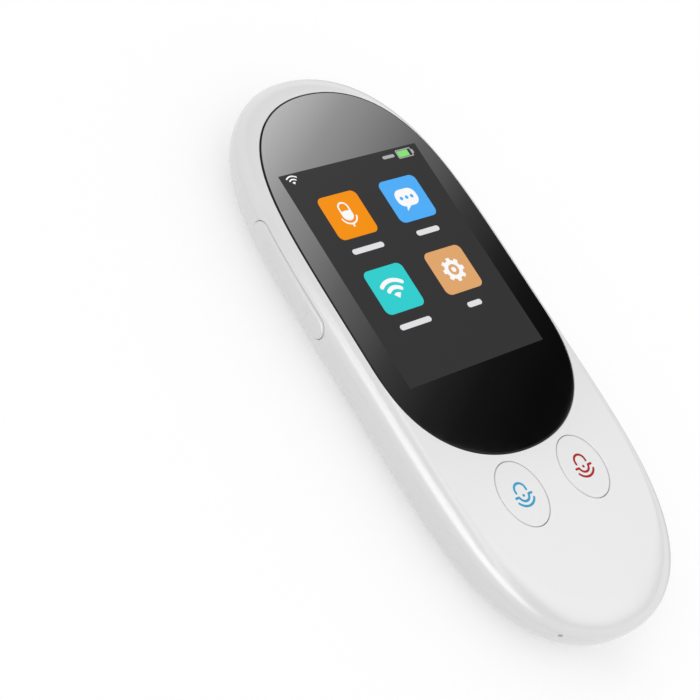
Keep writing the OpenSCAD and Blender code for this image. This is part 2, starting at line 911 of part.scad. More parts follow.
module volume_rocker() {
    high = rocker_high + 2 * rocker_flange;
    pivot_high = rocker_high - rocker_flange;
    pivot_x = rib_x() + rocker_rib_gap + rocker_pivot_r;
    color("white")
        mirror([1, 0, 0]) {
            difference() {
                union() {
                    side_cap(rocker_y, rocker_len, rocker_high);
                    for (s = [-1, 1])
                        side_stem(rocker_y + s * rocker_nub, nub_x + rocker_nub_gap);
                }
                for (s = [-1, 1])
                    nub_pocket(rocker_y + s * rocker_nub, nub_x + rocker_nub_gap,
                        cap_back(rocker_y + s * rocker_nub, side_key_z));
            }
            side_slab(rocker_y, 2 * rocker_flange_half, high,
                function(yy, zz) flange_face(yy, zz), function(yy, zz) flange_back(yy, zz));
            translate([pivot_x, rocker_y, side_key_z - pivot_high / 2])
                cylinder(r = rocker_pivot_r, h = pivot_high);
            block(pivot_x, rocker_y, side_key_z - pivot_high / 2,
                [rim_end_x(rocker_y) - pivot_x, rocker_web, pivot_high]);
        }
}

module side_switch_body(y, wide) {
    block(side_switch_x, y, board_z, [side_switch_deep, wide, side_switch_high]);
}

module side_nub(y, r, back, front) {
    translate([back, y, side_key_z])
        rotate([0, 90, 0])
            cylinder(r = r, h = front - back);
}

module side_switch(y, wide) {
    difference() {
        side_switch_body(y, wide);
        side_nub(y, side_nub_r + side_nub_gap,
            side_switch_x + side_switch_deep - side_nub_in - side_travel - side_nub_gap,
            nub_x);
    }
}

module side_plunger(y) {
    side_nub(y, side_nub_r, side_switch_x + side_switch_deep - side_nub_in, nub_x);
}

module volume_switches() {
    color("silver")
        mirror([1, 0, 0])
            for (s = [-1, 1]) {
                side_switch_body(rocker_y + s * rocker_nub, side_switch_wide);
                side_nub(rocker_y + s * rocker_nub, side_nub_r,
                    side_switch_x + side_switch_deep - side_nub_in, nub_x);
            }
}

module power_switch() {
    color("silver")
        side_switch(power_y, side_switch_wide);
}

module power_plunger() {
    color("black")
        side_plunger(power_y);
}

module reset_switch() {
    color("silver")
        side_switch(reset_y, reset_switch_wide);
}

module reset_plunger() {
    color("black")
        side_plunger(reset_y);
}

// ---- battery ----

module battery_cell() {
    color("lightsteelblue")
        centred_box(0, battery_y, battery_z, [battery_wide, battery_len, battery_thick]);
}

module battery_tape() {
    color("khaki")
        centred_box(0, battery_y, floor_z, [battery_wide - 6, battery_len - 6, tape]);
}

function battery_end() = battery_y + battery_len / 2;

module plug_box(grow) {
    centred_box(lead_x, battery_end() + lead_len + plug_size[1] / 2,
        board_low_z - battery_socket_wall - plug_size[2] - grow,
        plug_size + [2, 2, 2] * grow);
}

module battery_leads() {
    color("red")
        for (s = [-1, 1])
            translate([lead_x + s * lead_pitch / 2, battery_end(),
                board_low_z - battery_socket_wall - plug_size[2] / 2])
                rotate([-90, 0, 0])
                    cylinder(r = lead_r, h = lead_len);
}

module battery_plug() {
    color("white")
        plug_box(0);
}

module battery_socket() {
    long = plug_size[1] + battery_socket_wall;
    high = plug_size[2] + 2 * battery_socket_wall;
    color("ivory")
        difference() {
            centred_box(lead_x, battery_end() + lead_len + 2 * battery_socket_wall + long / 2,
                board_low_z - high,
                [plug_size[0] + 2 * battery_socket_wall, long, high]);
            plug_box(plug_gap);
        }
}

// ---- speaker ----

module at_speaker(z) {
    translate([0, speaker_y, z])
        children();
}

module dust_cloth() {
    color("black")
        at_speaker(grille_thick)
            cylinder(r = cloth_r, h = cloth_thick);
}

module speaker_gasket() {
    color("dimgray")
        at_speaker(floor_z)
            difference() {
                cylinder(r = gasket_r, h = gasket_high);
                translate([0, 0, -eps])
                    cylinder(r = cloth_r + cloth_gap, h = gasket_high + 2 * eps);
            }
}

module speaker_basket() {
    color("darkgray")
        at_speaker(speaker_z)
            rotate_extrude()
                polygon([[speaker_r - speaker_rim, 0], [speaker_r, 0],
                    [speaker_r, speaker_rim_high],
                    [basket_r + basket_wall, speaker_rim_high],
                    [basket_r, basket_high],
                    [magnet_r + basket_wall, basket_high],
                    [magnet_r + basket_wall, basket_high + 0.6],
                    [magnet_r + magnet_gap, basket_high + 0.6],
                    [magnet_r + magnet_gap, basket_high - basket_wall],
                    [basket_r - basket_wall, basket_high - basket_wall],
                    [speaker_r - speaker_rim, speaker_rim_high - 0.1]]);
}

module speaker_magnet() {
    color("gray")
        at_speaker(speaker_z + basket_high - basket_wall)
            cylinder(r = magnet_r, h = magnet_high + basket_wall);
}

module speaker_cone() {
    color("black")
        at_speaker(speaker_z)
            rotate_extrude()
                polygon([[0, 0.5], [3.2, 0.2], [4, 0.9], [speaker_r - speaker_rim - 0.1, 0.1],
                    [speaker_r - speaker_rim - 0.1, 0.4], [4, 1.25], [3, 0.55], [0, 0.85]]);
}

module speaker_contacts() {
    pad = speaker_z + speaker_rim_high;
    y = speaker_y - speaker_r + contact_in;
    color("gold")
        both_sides()
            translate([contact_x, y - contact_len / 2, pad])
                rotate([90, 0, 90])
                    linear_extrude(contact_wide)
                        union() {
                            square([contact_len, contact_leaf]);
                            square([contact_leaf, board_low_z - pad]);
                            translate([0, board_low_z - pad - contact_leaf])
                                square([contact_len, contact_leaf]);
                        }
}

// ---- microphone, charging socket, aerial ----

module mic_box(grow) {
    mirror([1, 0, 0])
        at_edge(mic_off, 0)
            block(-mic_in - mic_size[0] - grow, 0, board_z,
                mic_size + [2 * grow, 2 * grow, grow]);
}

module microphone() {
    color("silver")
        mic_box(0);
}

module mic_boot() {
    color("dimgray")
        difference() {
            mirror([1, 0, 0])
                at_edge(mic_off, 0)
                    block(-boot_in - boot_size[0], 0, board_z, boot_size);
            mic_box(plug_gap);
            mirror([1, 0, 0])
                at_edge(mic_off, mic_z)
                    translate([-mic_in - mic_size[0] / 2, 0, 0])
                        rotate([0, 90, 0])
                            cylinder(r = mic_hole_r, h = 2 * mic_size[0]);
        }
}

module usb_tube(thin, from, to) {
    translate([0, usb_y + to, usb_z])
        rotate([90, 0, 0])
            linear_extrude(to - from)
                stadium(usb_wide - 2 * thin, usb_high - 2 * thin);
}

module usb_shell() {
    color("silver")
        difference() {
            union() {
                usb_tube(0, 0, usb_deep);
                both_sides()
                    translate([usb_leg_x, usb_y + usb_deep - usb_leg_len, board_z])
                        cube([usb_leg_wide, usb_leg_len, usb_wall]);
            }
            usb_tube(usb_wall, -eps, usb_deep + eps);
        }
}

module usb_tongue() {
    fit = usb_wall + 0.02;
    color("black") {
        usb_tube(fit, usb_deep - usb_base, usb_deep);
        centred_box(0, usb_y + (usb_tongue_start + usb_deep) / 2 - usb_base / 2,
            usb_z - usb_tongue_thick / 2, [usb_tongue_wide,
            usb_deep - usb_base - usb_tongue_start + 2 * eps, usb_tongue_thick]);
    }
}

module aerial() {
    color("goldenrod")
        centred_box(0, aerial_y, floor_z, aerial_size);
}

front_housing();
back_cover();
lens();
lens_tape();
lcd_gasket();
lcd_glass();
lcd_backlight();
lcd_cushion();
lcd_flex();
lcd_socket();
main_board();
processor();
shield_can();
talk_switches();
left_key();
left_pad();
left_plunger();
right_key();
right_pad();
right_plunger();
volume_rocker();
volume_switches();
power_key();
power_plunger();
power_switch();
reset_switch();
reset_plunger();
battery_cell();
battery_tape();
battery_leads();
battery_plug();
battery_socket();
speaker_basket();
speaker_magnet();
speaker_cone();
speaker_gasket();
dust_cloth();
speaker_contacts();
microphone();
mic_boot();
usb_shell();
usb_tongue();
board_screws();
aerial();
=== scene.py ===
import json
import math

import bpy
import numpy as np
from mathutils import Matrix, Vector
from mathutils.geometry import delaunay_2d_cdt

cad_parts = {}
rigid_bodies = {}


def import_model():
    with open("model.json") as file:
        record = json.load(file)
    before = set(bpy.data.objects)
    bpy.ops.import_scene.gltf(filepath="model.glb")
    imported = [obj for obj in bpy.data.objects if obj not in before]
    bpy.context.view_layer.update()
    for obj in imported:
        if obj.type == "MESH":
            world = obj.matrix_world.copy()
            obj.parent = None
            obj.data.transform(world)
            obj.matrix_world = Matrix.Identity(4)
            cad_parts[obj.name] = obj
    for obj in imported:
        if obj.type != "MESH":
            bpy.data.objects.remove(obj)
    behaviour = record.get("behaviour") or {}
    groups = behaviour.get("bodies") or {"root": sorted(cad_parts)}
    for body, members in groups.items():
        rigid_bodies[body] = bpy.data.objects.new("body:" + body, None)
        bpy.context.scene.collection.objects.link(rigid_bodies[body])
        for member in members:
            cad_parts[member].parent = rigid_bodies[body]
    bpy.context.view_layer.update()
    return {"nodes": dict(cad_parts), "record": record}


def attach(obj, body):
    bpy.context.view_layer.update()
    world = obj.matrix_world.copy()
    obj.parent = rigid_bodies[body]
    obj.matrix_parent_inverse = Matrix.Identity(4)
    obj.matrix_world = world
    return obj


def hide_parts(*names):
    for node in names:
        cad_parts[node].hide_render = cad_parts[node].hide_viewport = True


for spare in list(bpy.data.objects):
    bpy.data.objects.remove(spare)
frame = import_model()
MM = 0.001

# ---------------------------------------------------------------------------
# sizes of the real object, in millimetres, the same as in the CAD source
# ---------------------------------------------------------------------------
HALF_LEN, HALF_WIDE, FRONT = 64.2, 25.9, 12.9
END_REACH = 14.25
END_POWER, SIDE_POWER = HALF_LEN / END_REACH, 2.1
SEAM, WAIST = 9.0, 8.1
FRONT_ROUND, BACK_ROUND = np.array([3.0, 7.0]), np.array([6.8, 8.8])
WALL, KEY_GAP = 1.5, 0.12
LIP_IN, LIP_GAP, LIP_HIGH = WALL / 2, 0.1, 0.8
SHELF = SEAM + LIP_HIGH + LIP_GAP
LENS_HALF, LENS_TOP, LENS_LOW = 23.55, 58.4, 26.0
LENS_TOP_POWER, LENS_LOW_POWER = 5.0, 2.6
LENS_THICK, LENS_GAP = 1.0, 0.1
LENS_FLOOR, CEIL, FLOOR = 11.75, 11.1, 1.5
CEIL_ROUND = np.array([1.2, 5.0])
SCREEN_Y, SCREEN_WIDE, SCREEN_HIGH = 17.42, 36.72, 48.96
WINDOW_ROOM = 1.6
TALK_X, TALK_Y, TALK_WIDE, TALK_HIGH = 8.57, -33.4, 10.5, 13.6
TALK_RIM, TALK_RIM_GAP = 0.7, 0.1
SIDE_KEY_Z = 7.9
ROCKER_Y, ROCKER_LEN, ROCKER_HIGH = 23.0, 26.2, 4.8
POWER_Y, POWER_LEN, POWER_HIGH = 29.6, 13.0, 4.3
KEY_PROUD = 0.35
RESET_Y, RESET_R = 21.5, 0.45
USB_Z, USB_WIDE, USB_HIGH, USB_GAP = 5.9, 8.94, 3.26, 0.2
STRAP_X, STRAP_PITCH, STRAP_R, STRAP_Z = 15.8, 4.5, 1.05, 7.8
MIC_X, MIC_R, MIC_Z = -15.2, 0.45, 8.4
SPEAKER_Y, SPEAKER_WELL, WELL_TOP = 42.6, 29.2, 9.4
GRILLE_COUNTS = (4, 8, 16, 24, 32, 40, 48, 60)
GRILLE_FIRST, GRILLE_PITCH, PITCH_LESS = 1.3, 1.78, 0.066
GRILLE_R, GRILLE_R_LESS = 0.52, 0.022

# what only the look needs, in millimetres: small roundings and thin layers
SEAM_SOFT = 0.07
LENS_SOFT, LENS_BEVEL, LENS_BED = 0.16, 0.08, 0.06
LENS_LIP, KEY_LIP, PIN_LIP, STRAP_LIP, USB_LIP = 0.12, 0.14, 0.1, 0.22, 0.25
TALK_SOFT, SIDE_KEY_SOFT = 0.2, 0.45
MARK_HIGH = 0.07
PICTURE_GAP, PICTURE_MARGIN = 0.003, 0.01
INLAY_PROUD, INLAY_THICK, INLAY_MARGIN = 0.004, 0.05, 0.01

# how far cutters reach out of the skin and into the wall, and a height over everything
CUT_OUT, CUT_IN, STRAP_IN, MIC_IN, USB_IN, OVER = 2.0, 4.0, 2.2, 3.0, 9.0, 14.0

# steps of a rounded edge, as angles from the wall to the face, and numbers of points
MOUTH_STEPS = np.radians([0, 20, 40, 60, 78])
LENS_STEPS = np.radians([0, 18, 36, 54, 72])
KEY_STEPS = np.radians([0, 15, 30, 45, 60, 75, 90])
FRONT_STEPS, BACK_STEPS = 26, 30
BODY_POINTS, LENS_POINTS, SLOT_END_POINTS, CORNER_POINTS = 480, 320, 14, 8
SLOT_STEP = 0.8
HALVINGS = 44


# ---------------------------------------------------------------------------
# outlines and the housing skin
# ---------------------------------------------------------------------------
def outline(a, half_x, up, low, side_p, up_p, low_p):
    """Points at angles a on a superellipse whose upper and lower halves may differ."""
    c, s = np.cos(a), np.sin(a)
    x = half_x * np.sign(c) * np.abs(c) ** (2 / side_p)
    y = np.where(s < 0, -low * np.abs(s) ** (2 / low_p), up * np.abs(s) ** (2 / up_p))
    return np.stack([x, y], 1)


def even_angles(n, *shape):
    """Angles at which the outline's points lie evenly along it."""
    a = np.linspace(0, 2 * math.pi, 40001)
    p = outline(a, *shape)
    run = np.concatenate([[0], np.cumsum(np.linalg.norm(np.diff(p, axis=0), axis=1))])
    return np.interp(np.arange(n) / n * run[-1], run, a)


BODY_POWERS = (SIDE_POWER, END_POWER, END_POWER)
BODY_ANGLES = even_angles(BODY_POINTS, HALF_WIDE, HALF_LEN, HALF_LEN, *BODY_POWERS)
LENS_POWERS = (SIDE_POWER, LENS_TOP_POWER, LENS_LOW_POWER)
LENS_ANGLES = even_angles(LENS_POINTS, LENS_HALF, LENS_TOP, LENS_LOW, *LENS_POWERS)


def flat(shape, z):
    """The outline shape as a ring at height z."""
    return np.column_stack([shape, np.full(len(shape), z)])


def body_ring(inset, z):
    """The housing's outline at height z, drawn in by inset: one number, or one for side and one for end."""
    x, y = np.array([HALF_WIDE, HALF_LEN]) - inset
    return flat(outline(BODY_ANGLES, x, y, y, *BODY_POWERS), z)


def lens_ring(grow, z):
    return flat(outline(LENS_ANGLES, LENS_HALF + grow, LENS_TOP + grow, LENS_LOW + grow, *LENS_POWERS), z)


def roundings(z):
    """How far height z is through the front's and the back's rounding, from 0 to 1."""
    return np.clip((z - SEAM) / (FRONT - SEAM), 0, 1), np.clip((WAIST - z) / WAIST, 0, 1)


def skin_inset(z):
    """How far the housing is drawn in from its side and its end at height z."""
    up, down = (1 - np.sqrt(1 - share**2) for share in roundings(z))
    return up[..., None] * FRONT_ROUND + down[..., None] * BACK_ROUND


def skin_level(p):
    """Below 0 inside the housing's outer form, above 0 outside."""
    i = skin_inset(p[..., 2])
    e = ((np.abs(p[..., 0]) / (HALF_WIDE - i[..., 0])) ** SIDE_POWER
         + (np.abs(p[..., 1]) / (HALF_LEN - i[..., 1])) ** END_POWER - 1)
    return np.where((p[..., 2] > FRONT) | (p[..., 2] < 0), 1.0, e)


def skin_normal(p):
    """The housing skin's outward direction at points p on it."""
    i = skin_inset(p[:, 2])
    hx, hy = HALF_WIDE - i[:, 0], HALF_LEN - i[:, 1]
    ax, ay = np.abs(p[:, 0]) / hx, np.abs(p[:, 1]) / hy
    gx = SIDE_POWER * ax ** (SIDE_POWER - 1) / hx
    gy = END_POWER * ay ** (END_POWER - 1) / hy
    up, down = roundings(p[:, 2])
    rise = up - down
    fall = np.sqrt(np.maximum(1 - rise**2, 0))
    reach = np.where(rise[:, None] > 0, FRONT_ROUND, BACK_ROUND)
    high = np.where(rise > 0, FRONT - SEAM, WAIST)
    n = np.stack([np.sign(p[:, 0]) * gx * fall, np.sign(p[:, 1]) * gy * fall,
                  rise / high * (gx * ax * reach[:, 0] + gy * ay * reach[:, 1])], 1)
    return n / np.maximum(np.linalg.norm(n, axis=1), 1e-12)[:, None]


def way_out(p, n, far=60.0):
    """Distance from points p inside the housing to its skin along n, by halving."""
    lo, hi = np.zeros(len(p)), np.full(len(p), far)
    for _ in range(HALVINGS):
        mid = (lo + hi) / 2
        inside = skin_level(p + mid[:, None] * n) < 0
        lo, hi = np.where(inside, mid, lo), np.where(inside, hi, mid)
    return (lo + hi) / 2


def off_skin(p, n, proud):
    """Distance of points p, to either side along n, from the skin moved out by proud, if under back."""
    back = 0.5
    return np.abs(way_out(p - n * back, n, 4 * back) - back + proud)


def stadium(long, high):
    """Outline of a slot with round ends, long along the first axis, anticlockwise."""
    r, s = high / 2, (long - high) / 2
    t = np.linspace(-math.pi / 2, math.pi / 2, SLOT_END_POINTS)
    end = np.column_stack([s + r * np.cos(t), r * np.sin(t)])
    steps = max(2, int(2 * s / SLOT_STEP))
    top = np.column_stack([np.linspace(s, -s, steps + 1)[1:-1], np.full(steps - 1, r)])
    return np.vstack([end, top, -end, -top])


def ellipse(wide, high, n=96):
    t = np.arange(n) / n * 2 * math.pi
    return np.column_stack([wide / 2 * np.cos(t), high / 2 * np.sin(t)])


def rounded_box(wide, high, r):
    p = []
    for k, (sx, sy) in enumerate([(1, 1), (-1, 1), (-1, -1), (1, -1)]):
        for t in np.linspace(k * math.pi / 2, (k + 1) * math.pi / 2, CORNER_POINTS):
            p.append([sx * (wide / 2 - r) + r * math.cos(t), sy * (high / 2 - r) + r * math.sin(t)])
    return np.array(p)


def box(half, low, high):
    """Rectangle from -half to half across, and from low to high."""
    return np.array([[-half, low], [half, low], [half, high], [-half, high]])


def slot_hole(long, high, gap, x=0.0):
    """Slot outline at x as a function of its growth, with gap all round it."""
    return lambda g: stadium(long + 2 * (gap + g), high + 2 * (gap + g)) + [x, 0]


def oval_hole(wide, high, n, gap=0.0, x=0.0, y=0.0):
    """Oval outline at x, y as a function of its growth, with gap all round it."""
    return lambda g: ellipse(wide + 2 * (gap + g), high + 2 * (gap + g), n) + [x, y]


def rounding(r, steps):
    """For each step of an edge rounded by r: how far it has drawn in, and its depth under the face."""
    return [(r * (1 - math.cos(t)), r * (1 - math.sin(t))) for t in steps]


# ---------------------------------------------------------------------------
# meshes
# ---------------------------------------------------------------------------
def link(data, name):
    obj = bpy.data.objects.new(name, data)
    bpy.context.scene.collection.objects.link(obj)
    return obj


def raw(points, faces, name):
    mesh = bpy.data.meshes.new(name)
    mesh.from_pydata((np.asarray(points) * MM).tolist(), [], [list(f) for f in faces])
    mesh.validate()
    mesh.update()
    return link(mesh, name)


def tube(n, rings, fold=0):
    """Faces of a tube through rings of n points each, closed at both ends. With fold, the last end is a
    row of quads across a slot whose first round end has that many points."""
    faces = []
    for a in range(0, (rings - 1) * n, n):
        faces += [(a + i, a + (i + 1) % n, a + n + (i + 1) % n, a + n + i) for i in range(n)]
    faces.append(tuple(range(n - 1, -1, -1)))
    top = (rings - 1) * n
    if not fold:
        return faces + [tuple(range(top, top + n))]
    for i in range(fold // 2, fold // 2 + n // 2 - 1):
        faces.append(tuple(top + k % n for k in (i, i + 1, fold - 2 - i, fold - 1 - i)))
    return faces


def loft(rings, name="cutter", fold=0):
    """Solid through rings of equal point counts, anticlockwise seen from the last ring's side."""
    return raw(np.vstack(rings), tube(len(rings[0]), len(rings), fold), name)


def cut(obj, cutters, operation="DIFFERENCE"):
    """Applies a boolean with each cutter in turn and removes the cutters."""
    for c in cutters:
        m = obj.modifiers.new("cut", "BOOLEAN")
        m.operation, m.solver, m.object = operation, "MANIFOLD", c
    obj.data = applied(obj)
    obj.data.materials.clear()
    for c in cutters:
        bpy.data.objects.remove(c)
    return obj


def applied(obj):
    """The object's mesh with its modifiers applied; they are then removed."""
    dg = bpy.context.evaluated_depsgraph_get()
    mesh = bpy.data.meshes.new_from_object(obj.evaluated_get(dg), depsgraph=dg)
    obj.modifiers.clear()
    return mesh


def read(items, name, width):
    """An attribute of all items, one row each."""
    values = np.zeros(len(items) * width, np.float32)
    items.foreach_get(name, values)
    return values.reshape(-1, width).astype(float)


def shade(obj, angle, skin=0.0, proud=0.0):
    """Smooth shading with sharp edges past angle. With skin, what lies within that distance of the
    housing's outer form, moved out by proud, and faces as it does takes that form's own direction."""
    mesh = obj.data
    mesh.shade_smooth()
    mesh.set_sharp_from_angle(angle=math.radians(angle))
    if not skin:
        m = obj.modifiers.new("weighted", "WEIGHTED_NORMAL")
        m.keep_sharp, m.weight = True, 90
        obj.data = applied(obj)
        return obj
    mesh.update()
    corner = read(mesh.corner_normals, "vector", 3)
    co = read(mesh.vertices, "co", 3) / MM
    face_n = read(mesh.polygons, "normal", 3)
    total = np.zeros(len(mesh.polygons), int)
    mesh.polygons.foreach_get("loop_total", total)
    vert = np.zeros(len(mesh.loops), int)
    mesh.loops.foreach_get("vertex_index", vert)
    face_of = np.repeat(np.arange(len(total)), total)
    normal = skin_normal(co)
    near = off_skin(co, normal, proud) < skin
    same_way = np.einsum("ij,ij->i", normal[vert], face_n[face_of]) > 0.93
    whole = np.bincount(face_of, weights=near[vert] & same_way, minlength=len(total)) == total
    use = whole[face_of]
    corner[use] = normal[vert][use]
    mesh.normals_split_custom_set([Vector(v) for v in corner])
    return obj


# ---------------------------------------------------------------------------
# openings and keys in the skin
# ---------------------------------------------------------------------------
class Port:
    """A place on the skin: origin inside the body, n the way out, t and b across it."""

    def __init__(self, origin, n, t):
        self.o, self.n, self.t = (np.array(v, float) for v in (origin, n, t))
        self.b = np.cross(self.n, self.t)

    def level(self, shape, out):
        """Shape's points on a plane, out from the origin."""
        return self.o + shape[:, :1] * self.t + shape[:, 1:] * self.b + out * self.n

    def ring(self, shape, out):
        """Shape's points on the skin, moved out of it by out, along the way out."""
        p = self.level(shape, 0)
        return p + (way_out(p, self.n) + out)[:, None] * self.n


def mouth(port, shape, deep, lip):
    """Cutter for an opening whose edge on the skin is rounded by lip."""
    edge = rounding(lip, MOUTH_STEPS)
    rings = [port.ring(shape(0), -deep)] + [port.ring(shape(grow), -under) for grow, under in edge]
    return loft(rings + [port.ring(shape(edge[-1][0]), CUT_OUT)])


PORT_IN, MIDDLE_Z = 8.0, 5.0


def edge_port(x, z):
    """Port at the bottom end, at x, square to the wall there, beginning PORT_IN inside it."""
    y = -HALF_LEN * (1 - (abs(x) / HALF_WIDE) ** SIDE_POWER) ** (1 / END_POWER)
    # between its two roundings the wall stands upright
    upright_z = (SEAM + WAIST) / 2
    n = skin_normal(np.array([[x, y, upright_z]]))[0]
    return Port(np.array([x, y, z]) - PORT_IN * n, n, [-n[1], n[0], 0])


left = Port([-10, 0, SIDE_KEY_Z], [-1, 0, 0], [0, -1, 0])
right = Port([10, 0, SIDE_KEY_Z], [1, 0, 0], [0, 1, 0])
face = Port([0, 0, MIDDLE_Z], [0, 0, 1], [1, 0, 0])
bottom = Port([0, 0, MIDDLE_Z], [0, 0, -1], [1, 0, 0])
socket = Port([0, -50, USB_Z], [0, -1, 0], [1, 0, 0])


# ---------------------------------------------------------------------------
# housing halves
# ---------------------------------------------------------------------------
def quarter(steps):
    """Points of a quarter circle: how far in, and how far up."""
    u = np.linspace(0, math.pi / 2, steps + 1)
    return np.column_stack([1 - np.cos(u), np.sin(u)])


def seam_edge(up):
    """The outer edge at the seam, softened, from the seam's face to the wall; up is 1 or -1."""
    steps = ((SEAM_SOFT, 0), (SEAM_SOFT * 0.3, SEAM_SOFT * 0.3), (0, SEAM_SOFT))
    return [body_ring(inset, SEAM + up * away) for inset, away in steps]


def side_mouths():
    rocker = slot_hole(ROCKER_LEN, ROCKER_HIGH, KEY_GAP, -ROCKER_Y)
    power = slot_hole(POWER_LEN, POWER_HIGH, KEY_GAP, POWER_Y)
    reset = oval_hole(2 * RESET_R, 2 * RESET_R, 32, 0, RESET_Y)
    return [mouth(left, rocker, CUT_IN, KEY_LIP), mouth(right, power, CUT_IN, KEY_LIP),
            mouth(right, reset, CUT_IN, PIN_LIP)]


def front_housing():
    rings = [body_ring(WALL + CEIL_ROUND * q[0], SHELF + (CEIL - SHELF) * q[1]) for q in quarter(6)[::-1]]
    rings += [body_ring(LIP_IN - LIP_GAP, SHELF), body_ring(LIP_IN - LIP_GAP, SEAM)] + seam_edge(1)[:2]
    start = math.asin(SEAM_SOFT / (FRONT - SEAM))
    for u in np.linspace(start, math.pi / 2, FRONT_STEPS):
        rings.append(body_ring(FRONT_ROUND * (1 - math.cos(u)), SEAM + (FRONT - SEAM) * math.sin(u)))
    shell = loft(rings, "front_shell")
    recess = [lens_ring(LENS_GAP, LENS_FLOOR)]
    recess += [lens_ring(LENS_GAP + grow, FRONT - under) for grow, under in rounding(LENS_LIP, MOUTH_STEPS)]
    recess.append(lens_ring(LENS_GAP + LENS_LIP * 0.8, FRONT + CUT_OUT))
    window = rounded_box(SCREEN_WIDE + WINDOW_ROOM, SCREEN_HIGH + WINDOW_ROOM, 0.5) + [0, SCREEN_Y]
    cutters = [loft(recess), loft([flat(window, SEAM - CUT_OUT), flat(window, OVER)])]
    for side in (-1, 1):
        hole = oval_hole(TALK_WIDE, TALK_HIGH, 96, KEY_GAP, side * TALK_X, TALK_Y)
        cutters.append(mouth(face, hole, CUT_IN, KEY_LIP))
    return shade(cut(shell, cutters + side_mouths()), 30, 0.02)


def grille():
    """Rings of speaker holes: radius of the ring, number of holes, radius of the holes."""
    for k, count in enumerate(GRILLE_COUNTS):
        ring_r = GRILLE_FIRST + GRILLE_PITCH * k - PITCH_LESS * k * (k - 1) / 2
        yield ring_r, count, GRILLE_R - GRILLE_R_LESS * k


def grille_cutters():
    """One cutter of all the speaker holes, each flared a little at the back face."""
    points, faces = [], []
    n = 20
    # the unit circle, turned the other way round as the hole goes down
    circle = ellipse(2, -2, n)
    for ring_r, count, r in grille():
        profile = [(r, 3.0), (r, 0.09), (r + 0.012, 0.045), (r + 0.045, 0.012), (r + 0.06, -0.4)]
        for a in np.arange(count) * 2 * math.pi / count:
            middle = np.array([ring_r * math.cos(a), SPEAKER_Y + ring_r * math.sin(a)])
            faces += [tuple(len(points) + v for v in f) for f in tube(n, len(profile))]
            points += [[*v, z] for rr, z in profile for v in middle + rr * circle]
    return raw(points, faces, "cutter")


def back_cover():
    rings = [body_ring(BACK_ROUND * (1 - math.cos(u)), WAIST * (1 - math.sin(u)))
             for u in np.linspace(math.pi / 2, 0, BACK_STEPS)]
    rings += seam_edge(-1)[::-1]
    rings += [body_ring(LIP_IN, SEAM), body_ring(LIP_IN, SEAM + LIP_HIGH), body_ring(WALL, SEAM + LIP_HIGH)]
    rings += [body_ring(WALL + BACK_ROUND * q[0], WAIST - (WAIST - FLOOR) * q[1]) for q in quarter(8)]
    shell = loft(rings, "back_shell")
    # strap anchor: a block inside the wall with a pocket in it, open at the seam; its own walls are 1 mm
    anchor = edge_port(STRAP_X, STRAP_Z)
    block, pocket = box(4.8, -2.35, 1.2), box(3.8, -1.35, 2.2)
    block_in, pocket_in, pocket_out = 2.4, 3.4, PORT_IN - 2
    cut(shell, [loft([anchor.level(block, block_in), anchor.ring(block, -0.8)])], "UNION")
    well = ellipse(SPEAKER_WELL, SPEAKER_WELL) + [0, -SPEAKER_Y]
    cutters = [grille_cutters(),
               loft([bottom.level(well, MIDDLE_Z - WELL_TOP), bottom.level(well, MIDDLE_Z - FLOOR)]),
               loft([anchor.level(pocket, pocket_in), anchor.level(pocket, pocket_out)]),
               mouth(socket, slot_hole(USB_WIDE, USB_HIGH, USB_GAP), USB_IN, USB_LIP)]
    for x in (-STRAP_PITCH / 2, STRAP_PITCH / 2):
        cutters.append(mouth(anchor, oval_hole(2 * STRAP_R, 2 * STRAP_R, 48, 0, x), STRAP_IN, STRAP_LIP))
    cutters.append(mouth(edge_port(MIC_X, MIC_Z), oval_hole(2 * MIC_R, 2 * MIC_R, 32), MIC_IN, PIN_LIP))
    return shade(cut(shell, cutters + side_mouths()), 30, 0.02)


# ---------------------------------------------------------------------------
# side keys
# ---------------------------------------------------------------------------
def emboss(port, shapes):
    """Raised marks on a key that follows the skin, their upper edge drawn in a little."""
    made = []
    for shape in shapes:
        top = np.mean(shape, 0) + (shape - np.mean(shape, 0)) * 0.985
        made.append(loft([port.ring(shape, KEY_PROUD - 0.2), port.ring(shape, KEY_PROUD + MARK_HIGH - 0.02),
                          port.ring(top, KEY_PROUD + MARK_HIGH)], "mark"))
    return made


def side_key(port, long, high, along, deep, flange, name):
    """A cap with a rounded edge that follows the skin. With flange, it stands on a rim inside the wall
    that is wider by as much."""
    shape = slot_hole(long, high, 0, along)
    rim_out, notch = -WALL - 0.5, 0.05
    rings = [port.ring(shape(flange), -deep)]
    if flange:
        rings += [port.ring(shape(flange), rim_out), port.ring(shape(-notch), rim_out),
                  port.ring(shape(0), rim_out + notch)]
    for grow, under in rounding(SIDE_KEY_SOFT, KEY_STEPS):
        rings.append(port.ring(shape(-grow), KEY_PROUD - under))
    # the cap's face in steps to its middle line, so that it curves as the skin does
    last = high / 2 - 0.15
    drawn_in = SIDE_KEY_SOFT
    while drawn_in < last - 0.05:
        drawn_in = min(drawn_in + 0.3, last)
        rings.append(port.ring(shape(-drawn_in), KEY_PROUD))
    return loft(rings, name, SLOT_END_POINTS)


# ---------------------------------------------------------------------------
# flat drawn shapes, for the picture on the screen and the marks on the keys
# ---------------------------------------------------------------------------
def bar(p, q, w, n=9):
    """Line from p to q with round ends."""
    p, q = np.array(p, float), np.array(q, float)
    a = math.atan2(*(q - p)[::-1])
    t = np.linspace(-math.pi / 2, math.pi / 2, n)
    end = np.column_stack([np.cos(a + t), np.sin(a + t)]) * w / 2
    return np.vstack([q + end, p - end])


